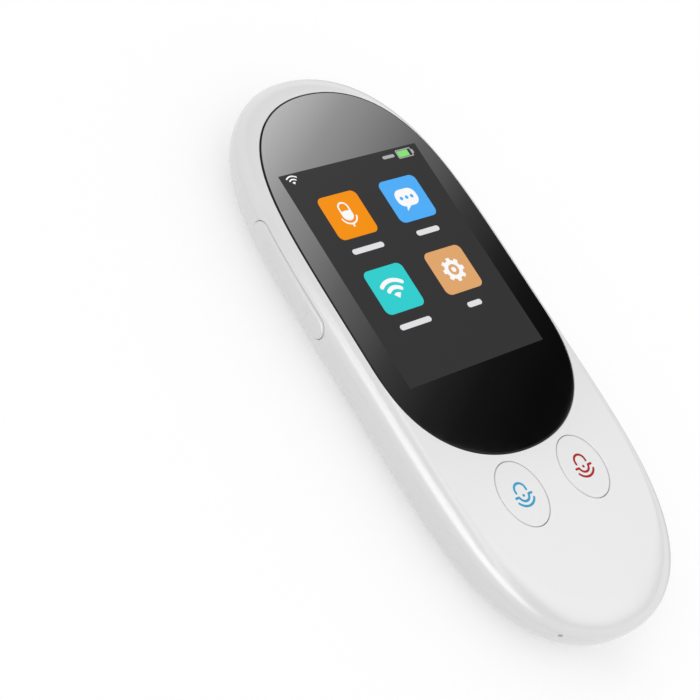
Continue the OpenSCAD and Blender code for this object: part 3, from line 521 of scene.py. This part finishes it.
def arc(c, r, w, a0, a1):
    """Part of a ring, from angle a0 to a1 in degrees, with round ends."""
    t = np.radians(np.linspace(a0, a1, 36))
    u = np.column_stack([np.cos(t), np.sin(t)])
    e = np.radians(np.linspace(0, 180, 9))[1:-1]
    far = (r * u[-1]) + w / 2 * np.column_stack([np.cos(t[-1] + e), np.sin(t[-1] + e)])
    near = (r * u[0]) - w / 2 * np.column_stack([np.cos(t[0] + e), np.sin(t[0] + e)])
    return np.array(c) + np.vstack([(r + w / 2) * u, far, (r - w / 2) * u[::-1], near])


def disc(c, r, n=40):
    return ellipse(2 * r, 2 * r, n) + np.array(c)


def slab(c, w, h, r):
    return rounded_box(w, h, r) + np.array(c)


def cog(c, outer, root, teeth):
    """Toothed wheel."""
    p = []
    half = math.pi / teeth
    for i in range(teeth):
        for t, r in ((-0.62, root), (-0.40, outer), (0.40, outer), (0.62, root), (0.8, root), (1.2, root)):
            a = 2 * half * i + t * half
            p.append([r * math.cos(a), r * math.sin(a)])
    return np.array(p) + np.array(c)


def anticlockwise(p):
    q = np.roll(p, -1, 0)
    return p if (p[:, 0] * q[:, 1] - q[:, 0] * p[:, 1]).sum() > 0 else p[::-1]


def inlaid(outer, shapes, z, depth, name):
    """Flat plate with outline outer and its top at z. Each (polygon, number) in shapes is a region of
    the top with that material number, later ones over earlier ones."""
    polys = [anticlockwise(np.asarray(p)) for p in [outer] + [p for p, _ in shapes]]
    kinds = [0] + [k for _, k in shapes]
    corners = [Vector(map(float, v)) for p in polys for v in p]
    loops, used = [], 0
    for p in polys:
        loops.append(list(range(used, used + len(p))))
        used += len(p)
    met, _, triangles, _, _, origin = delaunay_2d_cdt(corners, [], loops, 1, 1e-6)
    top, numbers = [], []
    for triangle, ids in zip(triangles, origin):
        if ids:
            a, b, c = (np.array(met[i]) for i in triangle)
            turn = (b - a)[0] * (c - a)[1] - (b - a)[1] * (c - a)[0]
            top.append(tuple(triangle) if turn > 0 else tuple(triangle[::-1]))
            numbers.append(kinds[max(ids)])
    # walls down from every open edge of the top, and the same face turned over underneath
    n = len(met)
    edges = dict.fromkeys((f[i], f[(i + 1) % 3]) for f in top for i in range(3))
    walls = [(b, a, a + n, b + n) for a, b in edges if (b, a) not in edges]
    under = [tuple(i + n for i in f[::-1]) for f in top]
    points = [[p.x, p.y, level] for level in (z, z - depth) for p in met]
    obj = raw(points, top + walls + under, name)
    obj.data.polygons.foreach_set("material_index", numbers + [0] * (len(walls) + len(under)))
    return obj


# ---------------------------------------------------------------------------
# materials
# ---------------------------------------------------------------------------
def linear(r, g, b):
    """Colour as a scene value, from 0 to 255 as it is seen."""
    return tuple((c / 255 / 12.92) if c <= 10 else ((c / 255 + 0.055) / 1.055) ** 2.4
                 for c in (r, g, b)) + (1.0,)


def scaled(colour, factor):
    return tuple(c * factor for c in colour[:3]) + (1.0,)


class Finish:
    """A procedural material: a Principled shader, and pieces of node work that feed it."""

    def __init__(self, name, **sockets):
        self.mat = bpy.data.materials.new(name)
        self.mat.use_nodes = True
        self.nodes, self.links = self.mat.node_tree.nodes, self.mat.node_tree.links
        self.shader = self.nodes["Principled BSDF"]
        self.coords = self.nodes.new("ShaderNodeTexCoord").outputs["Object"]
        for k, v in sockets.items():
            self.shader.inputs[k.replace("_", " ")].default_value = v

    def add(self, kind, **props):
        node = self.nodes.new("ShaderNode" + kind)
        for k, v in props.items():
            setattr(node, k, v)
        return node

    def noise(self, size, detail=3.0):
        """Noise whose blotches are about size metres across."""
        node = self.add("TexNoise")
        node.inputs["Scale"].default_value = 1 / size
        node.inputs["Detail"].default_value = detail
        self.links.new(self.coords, node.inputs["Vector"])
        return node.outputs["Fac"]

    def span(self, value, low, high, start=0.3, end=0.7, kind="LINEAR"):
        """Value from start to end brought to low to high, and held there outside."""
        node = self.add("MapRange", interpolation_type=kind)
        for k, v in (("From Min", start), ("From Max", end), ("To Min", low), ("To Max", high)):
            node.inputs[k].default_value = v
        self.links.new(value, node.inputs["Value"])
        return node.outputs["Result"]

    def step(self, value, start, end):
        """Soft step from 0 to 1 as value goes from start to end."""
        return self.span(value, 0, 1, start, end, "SMOOTHSTEP")

    def calc(self, kind, *values):
        """Math node; its values are other nodes' outputs or plain numbers."""
        node = self.add("Math", operation=kind)
        for socket_in, v in zip(node.inputs, values):
            if isinstance(v, (int, float)):
                socket_in.default_value = v
            else:
                self.links.new(v, socket_in)
        return node.outputs[0]

    def product(self, first, *rest):
        for value in rest:
            first = self.calc("MULTIPLY", first, value)
        return first

    def mix(self, value, one, two):
        node = self.add("Mix", data_type="RGBA")
        node.inputs[6].default_value, node.inputs[7].default_value = one, two
        self.links.new(value, node.inputs[0])
        return node.outputs[2]

    def colour(self, one, two, size):
        mixed = self.mix(self.span(self.noise(size), 0, 1), one, two)
        self.links.new(mixed, self.shader.inputs["Base Color"])
        return self

    def rough(self, low, high, size):
        self.links.new(self.span(self.noise(size), low, high), self.shader.inputs["Roughness"])
        return self

    def grain(self, size, high):
        """Fine bumps about size metres across and high metres high."""
        node = self.add("Bump")
        node.inputs["Strength"].default_value = 1
        node.inputs["Distance"].default_value = high
        self.links.new(self.noise(size, 2.0), node.inputs["Height"])
        self.links.new(node.outputs["Normal"], self.shader.inputs["Normal"])
        return self

    def show(self, shader):
        self.links.new(shader, self.nodes["Material Output"].inputs[0])


def plastic(name, seen, rough=0.36):
    f = Finish(name, IOR=1.4, Coat_Weight=0.85, Coat_Roughness=0.15)
    f.colour(linear(*seen), scaled(linear(*seen), 0.985), 0.02)
    return f.rough(rough, rough + 0.03, 0.02).grain(0.0005, 3e-7).mat


def ink(name, seen):
    """Pad printing: a thin dull layer of colour, a little uneven."""
    f = Finish(name, IOR=1.22)
    f.colour(linear(*seen), scaled(linear(*seen), 0.9), 0.0006)
    return f.rough(0.45, 0.55, 0.001).grain(0.0003, 3e-7).mat


PIXEL = 0.0000765


def pixels(name, seen):
    """Lit picture on the display: the colour through a fine grid of dots, on dark low-gloss glass."""
    f = Finish(name, IOR=1.12, Roughness=0.08, Emission_Strength=1.0)
    f.shader.inputs["Base Color"].default_value = (0.004, 0.004, 0.005, 1)
    dots = f.add("TexVoronoi", feature="F1", distance="CHEBYCHEV")
    dots.inputs["Scale"].default_value = 1 / PIXEL
    dots.inputs["Randomness"].default_value = 0
    f.links.new(f.coords, dots.inputs["Vector"])
    lit, between = scaled(linear(*seen), 1.06), scaled(linear(*seen), 0.86)
    f.links.new(f.mix(f.span(dots.outputs["Distance"], 0, 1, 0.38, 0.48), lit, between),
                f.shader.inputs["Emission Color"])
    return f.mat


WHITE = plastic("white_front_plastic", (231, 231, 232))
WHITE_BACK = plastic("white_back_plastic", (231, 231, 232))
KEY_WHITE = plastic("white_key_plastic", (230, 230, 231), 0.33)
BLUE_PRINT = ink("blue_print", (46, 164, 208))
RED_PRINT = ink("red_print", (178, 24, 20))

black_glass = Finish("black_lens_glass", IOR=2.2)
black_glass.colour((0.0008, 0.0008, 0.0009, 1), (0.0014, 0.0014, 0.0016, 1), 0.01).rough(0.02, 0.035, 0.004)
edge_black = Finish("lens_edge_black", IOR=1.3)
edge_black.colour((0.004, 0.004, 0.004, 1), (0.007, 0.007, 0.007, 1), 0.002).rough(0.5, 0.6, 0.002)

SCREEN = [pixels("screen_ground", (52, 52, 52)), pixels("screen_orange", (247, 146, 0)),
          pixels("screen_blue", (80, 175, 250)), pixels("screen_teal", (50, 208, 208)),
          pixels("screen_tan", (226, 168, 110)), pixels("screen_white", (252, 252, 252)),
          pixels("screen_green", (138, 228, 122)), pixels("screen_soft_white", (228, 228, 230)),
          pixels("screen_grey", (176, 178, 180))]
GROUND, ORANGE, BLUE, TEAL, TAN, PAPER, GREEN, SOFT_WHITE, GREY = range(9)

# finishes of the carried-over nodes by material slot: name, two colours, size of their blotches,
# roughness, and metallic
SLOT_LOOKS = {
    "black_tape": ("black_tape", (0.012, 0.012, 0.012), (0.02, 0.02, 0.02), 0.001, 0.6, 0),
    "foam": ("grey_foam", (0.05, 0.05, 0.055), (0.02, 0.02, 0.02), 0.0003, 0.9, 0),
    "lcd_glass": ("display_glass", (0.01, 0.012, 0.014), (0.016, 0.018, 0.02), 0.004, 0.08, 0),
    "backlight": ("backlight_tray", (0.75, 0.75, 0.75), (0.68, 0.68, 0.68), 0.004, 0.3, 0),
    "flex": ("amber_flex", (0.42, 0.17, 0.03), (0.3, 0.11, 0.02), 0.001, 0.35, 0),
    "connector": ("ivory_connector", (0.7, 0.66, 0.55), (0.6, 0.56, 0.46), 0.001, 0.45, 0),
    "board": ("green_board", (0.01, 0.11, 0.045), (0.015, 0.16, 0.06), 0.0012, 0.35, 0),
    "chip": ("chip_black", (0.015, 0.015, 0.016), (0.025, 0.025, 0.026), 0.001, 0.5, 0),
    "can": ("shield_tin", (0.6, 0.6, 0.6), (0.5, 0.5, 0.5), 0.003, 0.3, 1),
    "switch_metal": ("switch_steel", (0.62, 0.62, 0.62), (0.5, 0.5, 0.5), 0.001, 0.3, 1),
    "silicone": ("grey_silicone", (0.3, 0.3, 0.31), (0.24, 0.24, 0.25), 0.001, 0.55, 0),
    "black_plastic": ("black_plastic", (0.014, 0.014, 0.015), (0.02, 0.02, 0.02), 0.001, 0.4, 0),
    "pouch": ("silver_pouch", (0.5, 0.52, 0.55), (0.42, 0.44, 0.47), 0.004, 0.35, 0.6),
    "lead_red": ("red_lead", (0.5, 0.02, 0.015), (0.4, 0.015, 0.01), 0.001, 0.4, 0),
    "speaker_metal": ("speaker_steel", (0.4, 0.4, 0.41), (0.3, 0.3, 0.31), 0.002, 0.35, 1),
    "magnet": ("magnet_plate", (0.5, 0.5, 0.5), (0.42, 0.42, 0.42), 0.002, 0.3, 1),
    "cone": ("speaker_film", (0.02, 0.02, 0.021), (0.03, 0.03, 0.031), 0.001, 0.5, 0),
    "cloth": ("dust_weave", (0.03, 0.03, 0.03), (0.005, 0.005, 0.005), 0.0002, 0.85, 0),
    "contact_gold": ("contact_gold", (0.83, 0.6, 0.25), (0.7, 0.5, 0.2), 0.0008, 0.25, 1),
    "usb_metal": ("socket_steel", (0.66, 0.66, 0.67), (0.55, 0.55, 0.56), 0.0015, 0.22, 1),
    "screw_steel": ("screw_steel", (0.5, 0.5, 0.5), (0.4, 0.4, 0.4), 0.0006, 0.3, 1),
}
slot_mats = {}
for slot, (look, one, two, size, rough, metallic) in SLOT_LOOKS.items():
    f = Finish(look, IOR=1.45, Metallic=float(metallic)).colour((*one, 1.0), (*two, 1.0), size)
    slot_mats[slot] = f.rough(rough, rough * 1.3, size * 2).grain(0.0004, 4e-6).mat
for part in frame["record"]["subparts"]:
    if part.get("material_slot") in slot_mats:
        mesh = frame["nodes"][part["node"]].data
        mesh.materials.clear()
        mesh.materials.append(slot_mats[part["material_slot"]])


def finish_piece(obj, body, slot, mats, *nodes):
    for m in mats:
        obj.data.materials.append(m)
    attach(obj, body)
    if nodes:
        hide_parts(*nodes)


# ---------------------------------------------------------------------------
# the pieces
# ---------------------------------------------------------------------------
finish_piece(front_housing(), "housing", "housing_front", [WHITE], "front_housing")
finish_piece(back_cover(), "housing", "housing_back", [WHITE_BACK], "back_cover")


def lens():
    """Black glass with a rounded edge and a shallow bed in its face, where the picture lies."""
    back = FRONT - LENS_THICK
    rings = [lens_ring(-LENS_BEVEL, back), lens_ring(0, back + LENS_BEVEL)]
    rings += [lens_ring(-grow, FRONT - under) for grow, under in rounding(LENS_SOFT, LENS_STEPS)]
    rings += [lens_ring(-LENS_SOFT, FRONT), lens_ring(-LENS_SOFT - 0.1, FRONT)]
    window = rounded_box(SCREEN_WIDE, SCREEN_HIGH, 0.15) + [0, SCREEN_Y]
    glass = cut(loft(rings, "lens_glass"), [loft([flat(window, FRONT - LENS_BED), flat(window, OVER)])])
    shade(glass, 25)
    # the side and the outermost band of the face are dull
    dull = LENS_SOFT + 0.12
    for poly in glass.data.polygons:
        x, y = abs(poly.center[0]) / MM, poly.center[1] / MM
        far, power = (LENS_TOP, LENS_TOP_POWER) if y > 0 else (LENS_LOW, LENS_LOW_POWER)
        at_edge = (x / (LENS_HALF - dull)) ** SIDE_POWER + (abs(y) / (far - dull)) ** power > 1
        poly.material_index = int(at_edge and poly.normal.z > -0.5)
    finish_piece(glass, "housing", "lens", [black_glass.mat, edge_black.mat], "lens")


# the picture's signs, in millimetres from the picture's middle
def waves_sign(x, y, s, thick=1.0):
    """Radio waves: a wedge with two arcs over it; (x, y) is its low point and s its height."""
    t = np.radians(np.linspace(50, 130, 14))
    wedge = np.vstack([[[0, 0.02 * s]], s * 0.3 * np.column_stack([np.cos(t), np.sin(t)])]) + [x, y]
    w = thick * s * 0.19375
    return [(wedge, PAPER)] + [(arc([x, y], s * far - w / 2, w, 51, 129), PAPER) for far in (0.65, 1)]


def microphone_sign(x, y, ground):
    """Microphone: a capsule half filled, the cradle round it, and a stem."""
    high, low, wide, hollow = [x, y + 1.75], [x, y + 0.1], 2.7, 1.95
    return [(bar(high, low, wide, 17), PAPER), (bar(high, low, hollow, 17), ground),
            (slab(low, hollow, hollow, 0.97), PAPER), (slab([x, y + 0.55], hollow, 0.9, 0.05), PAPER),
            (arc([x, y - 0.05], 1.95, 0.36, 195, 345), PAPER), (bar([x, y - 2.0], [x, y - 2.6], 0.4), PAPER)]


def talk_sign(x, y, ground):
    """Speech bubble with three dots in it."""
    tail = np.array([[-1.17, -1.43], [0.13, -1.56], [-1.755, -2.795]]) + [x, y]
    bubble = [(tail, PAPER), (slab([x, y + 0.26], 5.59, 4.03, 1.755), PAPER)]
    return bubble + [(disc([x + d, y + 0.26], 0.429, 20), ground) for d in (-1.43, 0, 1.43)]


def cog_sign(x, y, ground):
    return [(cog([x, y], 2.75, 2.15, 8), PAPER), (disc([x, y], 1.25), ground), (disc([x, y], 0.58), PAPER)]


TILES = ((-8.25, 12.8, ORANGE), (7.95, 12.8, BLUE), (-8.3, -4.65, TEAL), (7.9, -4.65, TAN))
CAPTIONS = ((-11.8, -4.8, 4.9), (5.4, 10.4, 4.9), (-11.8, -4.8, -12.7), (6.5, 9.2, -12.7))
STATUS_Y = 22.8


def screen():
    """Tiles with signs, bars under them where the words would be, and a status line."""
    drawn = [(slab([x, y], 10.1, 10, 1.4), kind) for x, y, kind in TILES]
    drawn += microphone_sign(-8.2, 12.8, ORANGE) + talk_sign(7.95, 12.9, BLUE)
    drawn += waves_sign(-8.2, -6.95, 4.6) + cog_sign(8.05, -4.65, TAN)
    drawn += [(bar([x0, y], [x1, y], 1.2), SOFT_WHITE) for x0, x1, y in CAPTIONS]
    drawn += waves_sign(-15.6, 21.95, 2.1, 0.75)
    drawn.append((bar([8.6, STATUS_Y + 0.05], [11.1, STATUS_Y + 0.05], 0.75), GREY))
    # battery: frame, inside, charge and cap
    for x, wide, high, r, kind in ((14.3, 4.2, 2.1, 0.3, GREY), (14.3, 3.7, 1.65, 0.12, GROUND),
                                   (13.95, 2.9, 1.45, 0.08, GREEN), (16.6, 0.4, 0.95, 0.1, GREY)):
        drawn.append((slab([x, STATUS_Y], wide, high, r), kind))
    drawn = [(shape + [0, SCREEN_Y + 0.03], kind) for shape, kind in drawn]
    edge = rounded_box(SCREEN_WIDE - 2 * PICTURE_MARGIN, SCREEN_HIGH - 2 * PICTURE_MARGIN, 0.14)
    picture = inlaid(edge + [0, SCREEN_Y], drawn, FRONT - PICTURE_GAP, LENS_BED - 2 * PICTURE_GAP,
                     "screen_picture")
    finish_piece(picture, "housing", "lcd_glass", SCREEN)


def key_sign(x, y):
    """Microphone sign drawn in line: open capsule with a dot, the cradle, and the arc of a foot."""
    w = 0.5
    shapes = [arc([x, y + 0.85], 1.33, w, 0, 180), bar([x - 1.33, y + 0.85], [x - 1.33, y + 0.5], w),
              bar([x + 1.33, y + 0.85], [x + 1.33, y + 0.5], w), disc([x, y - 0.38], 0.3, 20),
              arc([x, y - 0.3], 1.24, w, 188, 352), bar([x - 1.25, y - 0.42], [x - 2.05, y - 0.4], w),
              bar([x + 1.25, y - 0.42], [x + 2.05, y - 0.4], w), arc([x, y - 0.15], 2.4, w, 213, 327)]
    return [(shape, 1) for shape in shapes]


def talk_key(side, name, print_mat, lift):
    """Oval key level with the face, on a rim under it, with a sign let into it."""
    x, y = side * TALK_X, TALK_Y
    oval = oval_hole(TALK_WIDE, TALK_HIGH, 120, 0, x, y)
    rim_low = CEIL - TALK_RIM_GAP - TALK_RIM
    rings = [flat(oval(TALK_RIM), rim_low), flat(oval(TALK_RIM), rim_low + TALK_RIM),
             flat(oval(0), rim_low + TALK_RIM)]
    rings += [flat(oval(-grow), FRONT - under) for grow, under in rounding(TALK_SOFT, KEY_STEPS)]
    body = loft(rings, name + "_cap")
    top = inlaid(oval(-TALK_SOFT - INLAY_MARGIN), key_sign(x, y + lift), FRONT + INLAY_PROUD, INLAY_THICK,
                 name + "_sign")
    shade(body, 35)
    finish_piece(body, name, "key_white", [KEY_WHITE], name)
    shade(top, 35)
    finish_piece(top, name, "key_white", [KEY_WHITE, print_mat])


def volume_rocker():
    """Cap with raised plus and minus; behind it a rim, a web, a pivot and two stems to the switches."""
    key = side_key(left, ROCKER_LEN, ROCKER_HIGH, -ROCKER_Y, 1.97, 0, "volume_rocker_key")
    mark, half, w = 7.8, 0.9, 0.3
    low, high = -ROCKER_Y - mark, -ROCKER_Y + mark
    marks = [bar([low - half, 0], [low + half, 0], w), bar([low, -half], [low, half], w),
             bar([high, -half], [high, half], w)]
    rim, rim_in, rim_out = slab([-ROCKER_Y, 0], 8, ROCKER_HIGH + 1, 0.1), -2.5, -1.75
    behind = [loft([left.ring(rim, rim_in), left.ring(rim, rim_out)])]
    # the rest is placed by its distance from the middle of the device
    middle = Port([0, ROCKER_Y, SIDE_KEY_Z], [-1, 0, 0], [0, -1, 0])
    pivot_at, web_to, stem_from, stem_to = 22.82, 24, 23.16, 24.4
    pivot_half = (ROCKER_HIGH - 0.5) / 2
    web = rounded_box(0.8, 2 * pivot_half, 0.05)
    behind.append(loft([middle.level(web, pivot_at), middle.level(web, web_to)]))
    pivot = disc([-pivot_at, ROCKER_Y], 0.5, 32)
    behind.append(loft([flat(pivot, SIDE_KEY_Z + up * pivot_half) for up in (-1, 1)]))
    for along in (-8, 8):
        stem = disc([along, 0], 1, 32)
        behind.append(loft([middle.level(stem, stem_from), middle.level(stem, stem_to)]))
    cut(key, emboss(left, marks) + behind, "UNION")
    shade(key, 35, 0.03, KEY_PROUD)
    finish_piece(key, "volume_rocker", "key_white", [KEY_WHITE], "volume_rocker")


def power_key():
    """Cap on its rim, with the raised mark for standby: a broken ring with a stroke."""
    key = side_key(right, POWER_LEN, POWER_HIGH, POWER_Y, 2.4, 0.6, "power_button")
    w = 0.28
    marks = [arc([POWER_Y, 0], 0.95, w, 125, 415), bar([POWER_Y, 0.35], [POWER_Y, 1.3], w)]
    cut(key, emboss(right, marks), "UNION")
    shade(key, 35, 0.03, KEY_PROUD)
    finish_piece(key, "power_key", "key_white", [KEY_WHITE], "power_key")


lens()
screen()
talk_key(-1, "left_key", BLUE_PRINT, 0)
talk_key(1, "right_key", RED_PRINT, 0.35)
volume_rocker()
power_key()

# ---------------------------------------------------------------------------
# studio, in metres
# ---------------------------------------------------------------------------
# the camera's right, down and forward directions and its place, fitted to the photograph
CAM_RIGHT, CAM_DOWN = (0.73334, -0.50738, 0.45252), (-0.25212, -0.82111, -0.51207)
CAM_FORWARD = (0.63138, 0.26143, -0.73007)
EYE = (-0.22502, -0.07852, 0.2432)
SENSOR, LENS_LENGTH = 36, 88.893

cam_data = bpy.data.cameras.new("camera")
cam = link(cam_data, "camera")
axes = Matrix((CAM_RIGHT, [-v for v in CAM_DOWN], [-v for v in CAM_FORWARD])).transposed()
cam.matrix_world = Matrix.Translation(Vector(EYE)) @ axes.to_4x4()
cam_data.sensor_width, cam_data.lens = SENSOR, LENS_LENGTH
cam_data.clip_start, cam_data.clip_end = 0.01, 60
bpy.context.scene.camera = cam


def plane(name, x0, x1, y0, y1, z, n=1):
    """Level rectangle of n by n faces."""
    xs, ys = np.linspace(x0, x1, n + 1), np.linspace(y0, y1, n + 1)
    firsts = [j * (n + 1) + i for j in range(n) for i in range(n)]
    obj = raw([[x / MM, y / MM, z / MM] for y in ys for x in xs],
              [(a, a + 1, a + n + 2, a + n + 1) for a in firsts], name)
    return obj


def shows_white(nodes, links):
    """1 for the rays that see the plain background: from the camera, off gloss, and through glass."""
    path = nodes.new("ShaderNodeLightPath")
    seen = path.outputs["Is Camera Ray"]
    for kind in ("Is Glossy Ray", "Is Transmission Ray"):
        either = nodes.new("ShaderNodeMath")
        either.operation = "MAXIMUM"
        links.new(seen, either.inputs[0])
        links.new(path.outputs[kind], either.inputs[1])
        seen = either.outputs[0]
    return seen


floor = plane("floor", -25, 25, -25, 25, -0.0002, 2)
f = Finish("pale_floor", Roughness=0.9, IOR=1.2)
f.colour((0.8, 0.8, 0.8, 1), (0.79, 0.79, 0.79, 1), 0.3)
# shown a little brighter than it lights: a diffuse share that keeps the shadow, and a share of its own
shadowed, glow, shown, pick = (f.add(kind) for kind in ("BsdfDiffuse", "Emission", "AddShader", "MixShader"))
shadowed.inputs["Color"].default_value = (0.6, 0.6, 0.6, 1)
glow.inputs["Color"].default_value = (1, 1, 1, 1)
glow.inputs["Strength"].default_value = 0.44
f.links.new(shadowed.outputs[0], shown.inputs[0])
f.links.new(glow.outputs[0], shown.inputs[1])
f.links.new(shows_white(f.nodes, f.links), pick.inputs[0])
f.links.new(f.shader.outputs[0], pick.inputs[1])
f.links.new(shown.outputs[0], pick.inputs[2])
f.show(pick.outputs[0])
floor.data.materials.append(f.mat)


def card_light(card, name):
    """Sets a card up to be seen by gloss only; gives its finish and the coordinates x, y and z on it."""
    card.visible_camera = card.visible_diffuse = card.visible_shadow = False
    card.visible_transmission = card.visible_volume_scatter = False
    finish = Finish(name)
    card.data.materials.append(finish.mat)
    split = finish.add("SeparateXYZ")
    finish.links.new(finish.coords, split.inputs[0])
    return finish, *split.outputs


def upper_card():
    """Card over the object, bright on the left and falling off to the right and the front. Its places
    are given by the point on the lens, in millimetres, that mirrors them to the camera's place."""
    high, top_strength = 0.5, 6.0
    f, x, y, _ = card_light(plane("studio_card", -0.75, 1.4, -1.0, 1.6, high), "card_light")
    reach = (high - FRONT * MM) / (EYE[2] - FRONT * MM)
    x, y = (f.calc("MULTIPLY_ADD", v, 1 / MM / (1 + reach), eye * reach / MM / (1 + reach))
            for v, eye in ((x, EYE[0]), (y, EYE[1])))

    # the lens: how bright it is seen, 0 to 255, at each tone; the tone runs as 32 - 1.5 x + 2.35 y
    tones = [(-60, 4), (-20, 8), (10, 18), (30, 31), (60, 55), (100, 94), (150, 143), (186, 188), (200, 140),
             (225, 70), (260, 60)]
    low, high_tone, lens_gloss = tones[0][0], tones[-1][0], 0.15
    tone = f.calc("ADD", f.calc("MULTIPLY_ADD", x, -1.5, 32), f.calc("MULTIPLY", y, 2.35))
    ramp = f.add("ValToRGB")
    ramp.color_ramp.interpolation = "LINEAR"
    while len(ramp.color_ramp.elements) < len(tones):
        ramp.color_ramp.elements.new(0.5)
    for stop, (t, seen) in zip(ramp.color_ramp.elements, tones):
        stop.position = (t - low) / (high_tone - low)
        stop.color = scaled(linear(seen, seen, seen), 1 / lens_gloss / top_strength)
    f.links.new(f.span(tone, 0, 1, low, high_tone), ramp.inputs[0])
    lens_lamp = f.add("Emission")
    lens_lamp.inputs["Strength"].default_value = top_strength
    f.links.new(ramp.outputs["Color"], lens_lamp.inputs["Color"])

    # the plain face: its patch begins below the lens's curved lower edge
    patch_strength, ridge_strength = 2.05, 4.5
    bow = f.calc("MINIMUM", f.calc("ABSOLUTE", x), 24)
    slope = f.calc("MULTIPLY", f.calc("MINIMUM", f.calc("ADD", x, 24), 0), -0.45)
    below = f.calc("ADD", f.calc("SUBTRACT", y, f.product(bow, bow, 0.024)), slope)
    patch = f.product(f.step(below, -26, -31), f.step(y, -330, -170), f.span(x, 0, 1, 150, 5),
                      f.step(x, -210, -125), patch_strength)
    # the strip card's light carried on over this card's left end
    ridge = f.product(f.step(x, -325, -350), f.step(y, 48, 15), f.step(y, -90, -62), ridge_strength)
    face_lamp, both = f.add("Emission"), f.add("AddShader")
    f.links.new(f.calc("ADD", patch, ridge), face_lamp.inputs["Strength"])
    f.links.new(lens_lamp.outputs[0], both.inputs[0])
    f.links.new(face_lamp.outputs[0], both.inputs[1])
    f.show(both.outputs[0])


def plain_lamp(f, strength):
    lamp = f.add("Emission")
    f.links.new(strength, lamp.inputs["Strength"])
    f.show(lamp.outputs[0])


def strip_card():
    """Upright soft strip on the left, for the bright line along the rounded edge."""
    corners = [[-1000, y, z] for y, z in ((-1700, 1), (-1700, 700), (700, 700), (700, 1))]
    strip = raw(corners, [(0, 1, 2, 3)], "strip_card")
    f, _, y, z = card_light(strip, "strip_light")
    strength = 4.8
    plain_lamp(f, f.product(f.step(y, -1.7, -0.5), f.step(y, 0.42, 0.2), f.step(z, -0.03, 0.1),
                            f.step(z, 0.75, 0.5), strength))


def ground_card():
    """Greyer ground on the right, for the fine grey line along the right rounding."""
    x0, x1, y0, y1 = 0.027, 0.5, -0.1, 0.16
    f, x, y, _ = card_light(plane("ground_card", x0, x1, y0, y1, 0.0003), "ground_light")
    grey = f.product(f.step(x, x0, 0.036), f.step(x, x1, 0.3), f.step(y, y0, -0.06), f.step(y, y1, 0.09))
    plain_lamp(f, f.calc("MULTIPLY_ADD", grey, -0.5, 0.98))


upper_card()
strip_card()
ground_card()

# soft light from all sides, a little stronger from above, on a white background
world = bpy.data.worlds.new("studio")
bpy.context.scene.world = world
world.use_nodes = True
nodes, links = world.node_tree.nodes, world.node_tree.links
nodes.clear()
coords, split, rise, sky, white, pick, out = (nodes.new("ShaderNode" + kind) for kind in (
    "TexCoord", "SeparateXYZ", "MapRange", "Background", "Background", "MixShader", "OutputWorld"))
for key, value in (("From Min", 0), ("From Max", 0.9), ("To Min", 0.86), ("To Max", 0.96)):
    rise.inputs[key].default_value = value
sky.inputs["Color"].default_value = white.inputs["Color"].default_value = (1, 1, 1, 1)
white.inputs["Strength"].default_value = 1.0
links.new(coords.outputs["Generated"], split.inputs[0])
links.new(split.outputs[2], rise.inputs["Value"])
links.new(rise.outputs["Result"], sky.inputs["Strength"])
links.new(shows_white(nodes, links), pick.inputs[0])
links.new(sky.outputs[0], pick.inputs[1])
links.new(white.outputs[0], pick.inputs[2])
links.new(pick.outputs[0], out.inputs[0])

bpy.context.scene.view_settings.view_transform = "Standard"
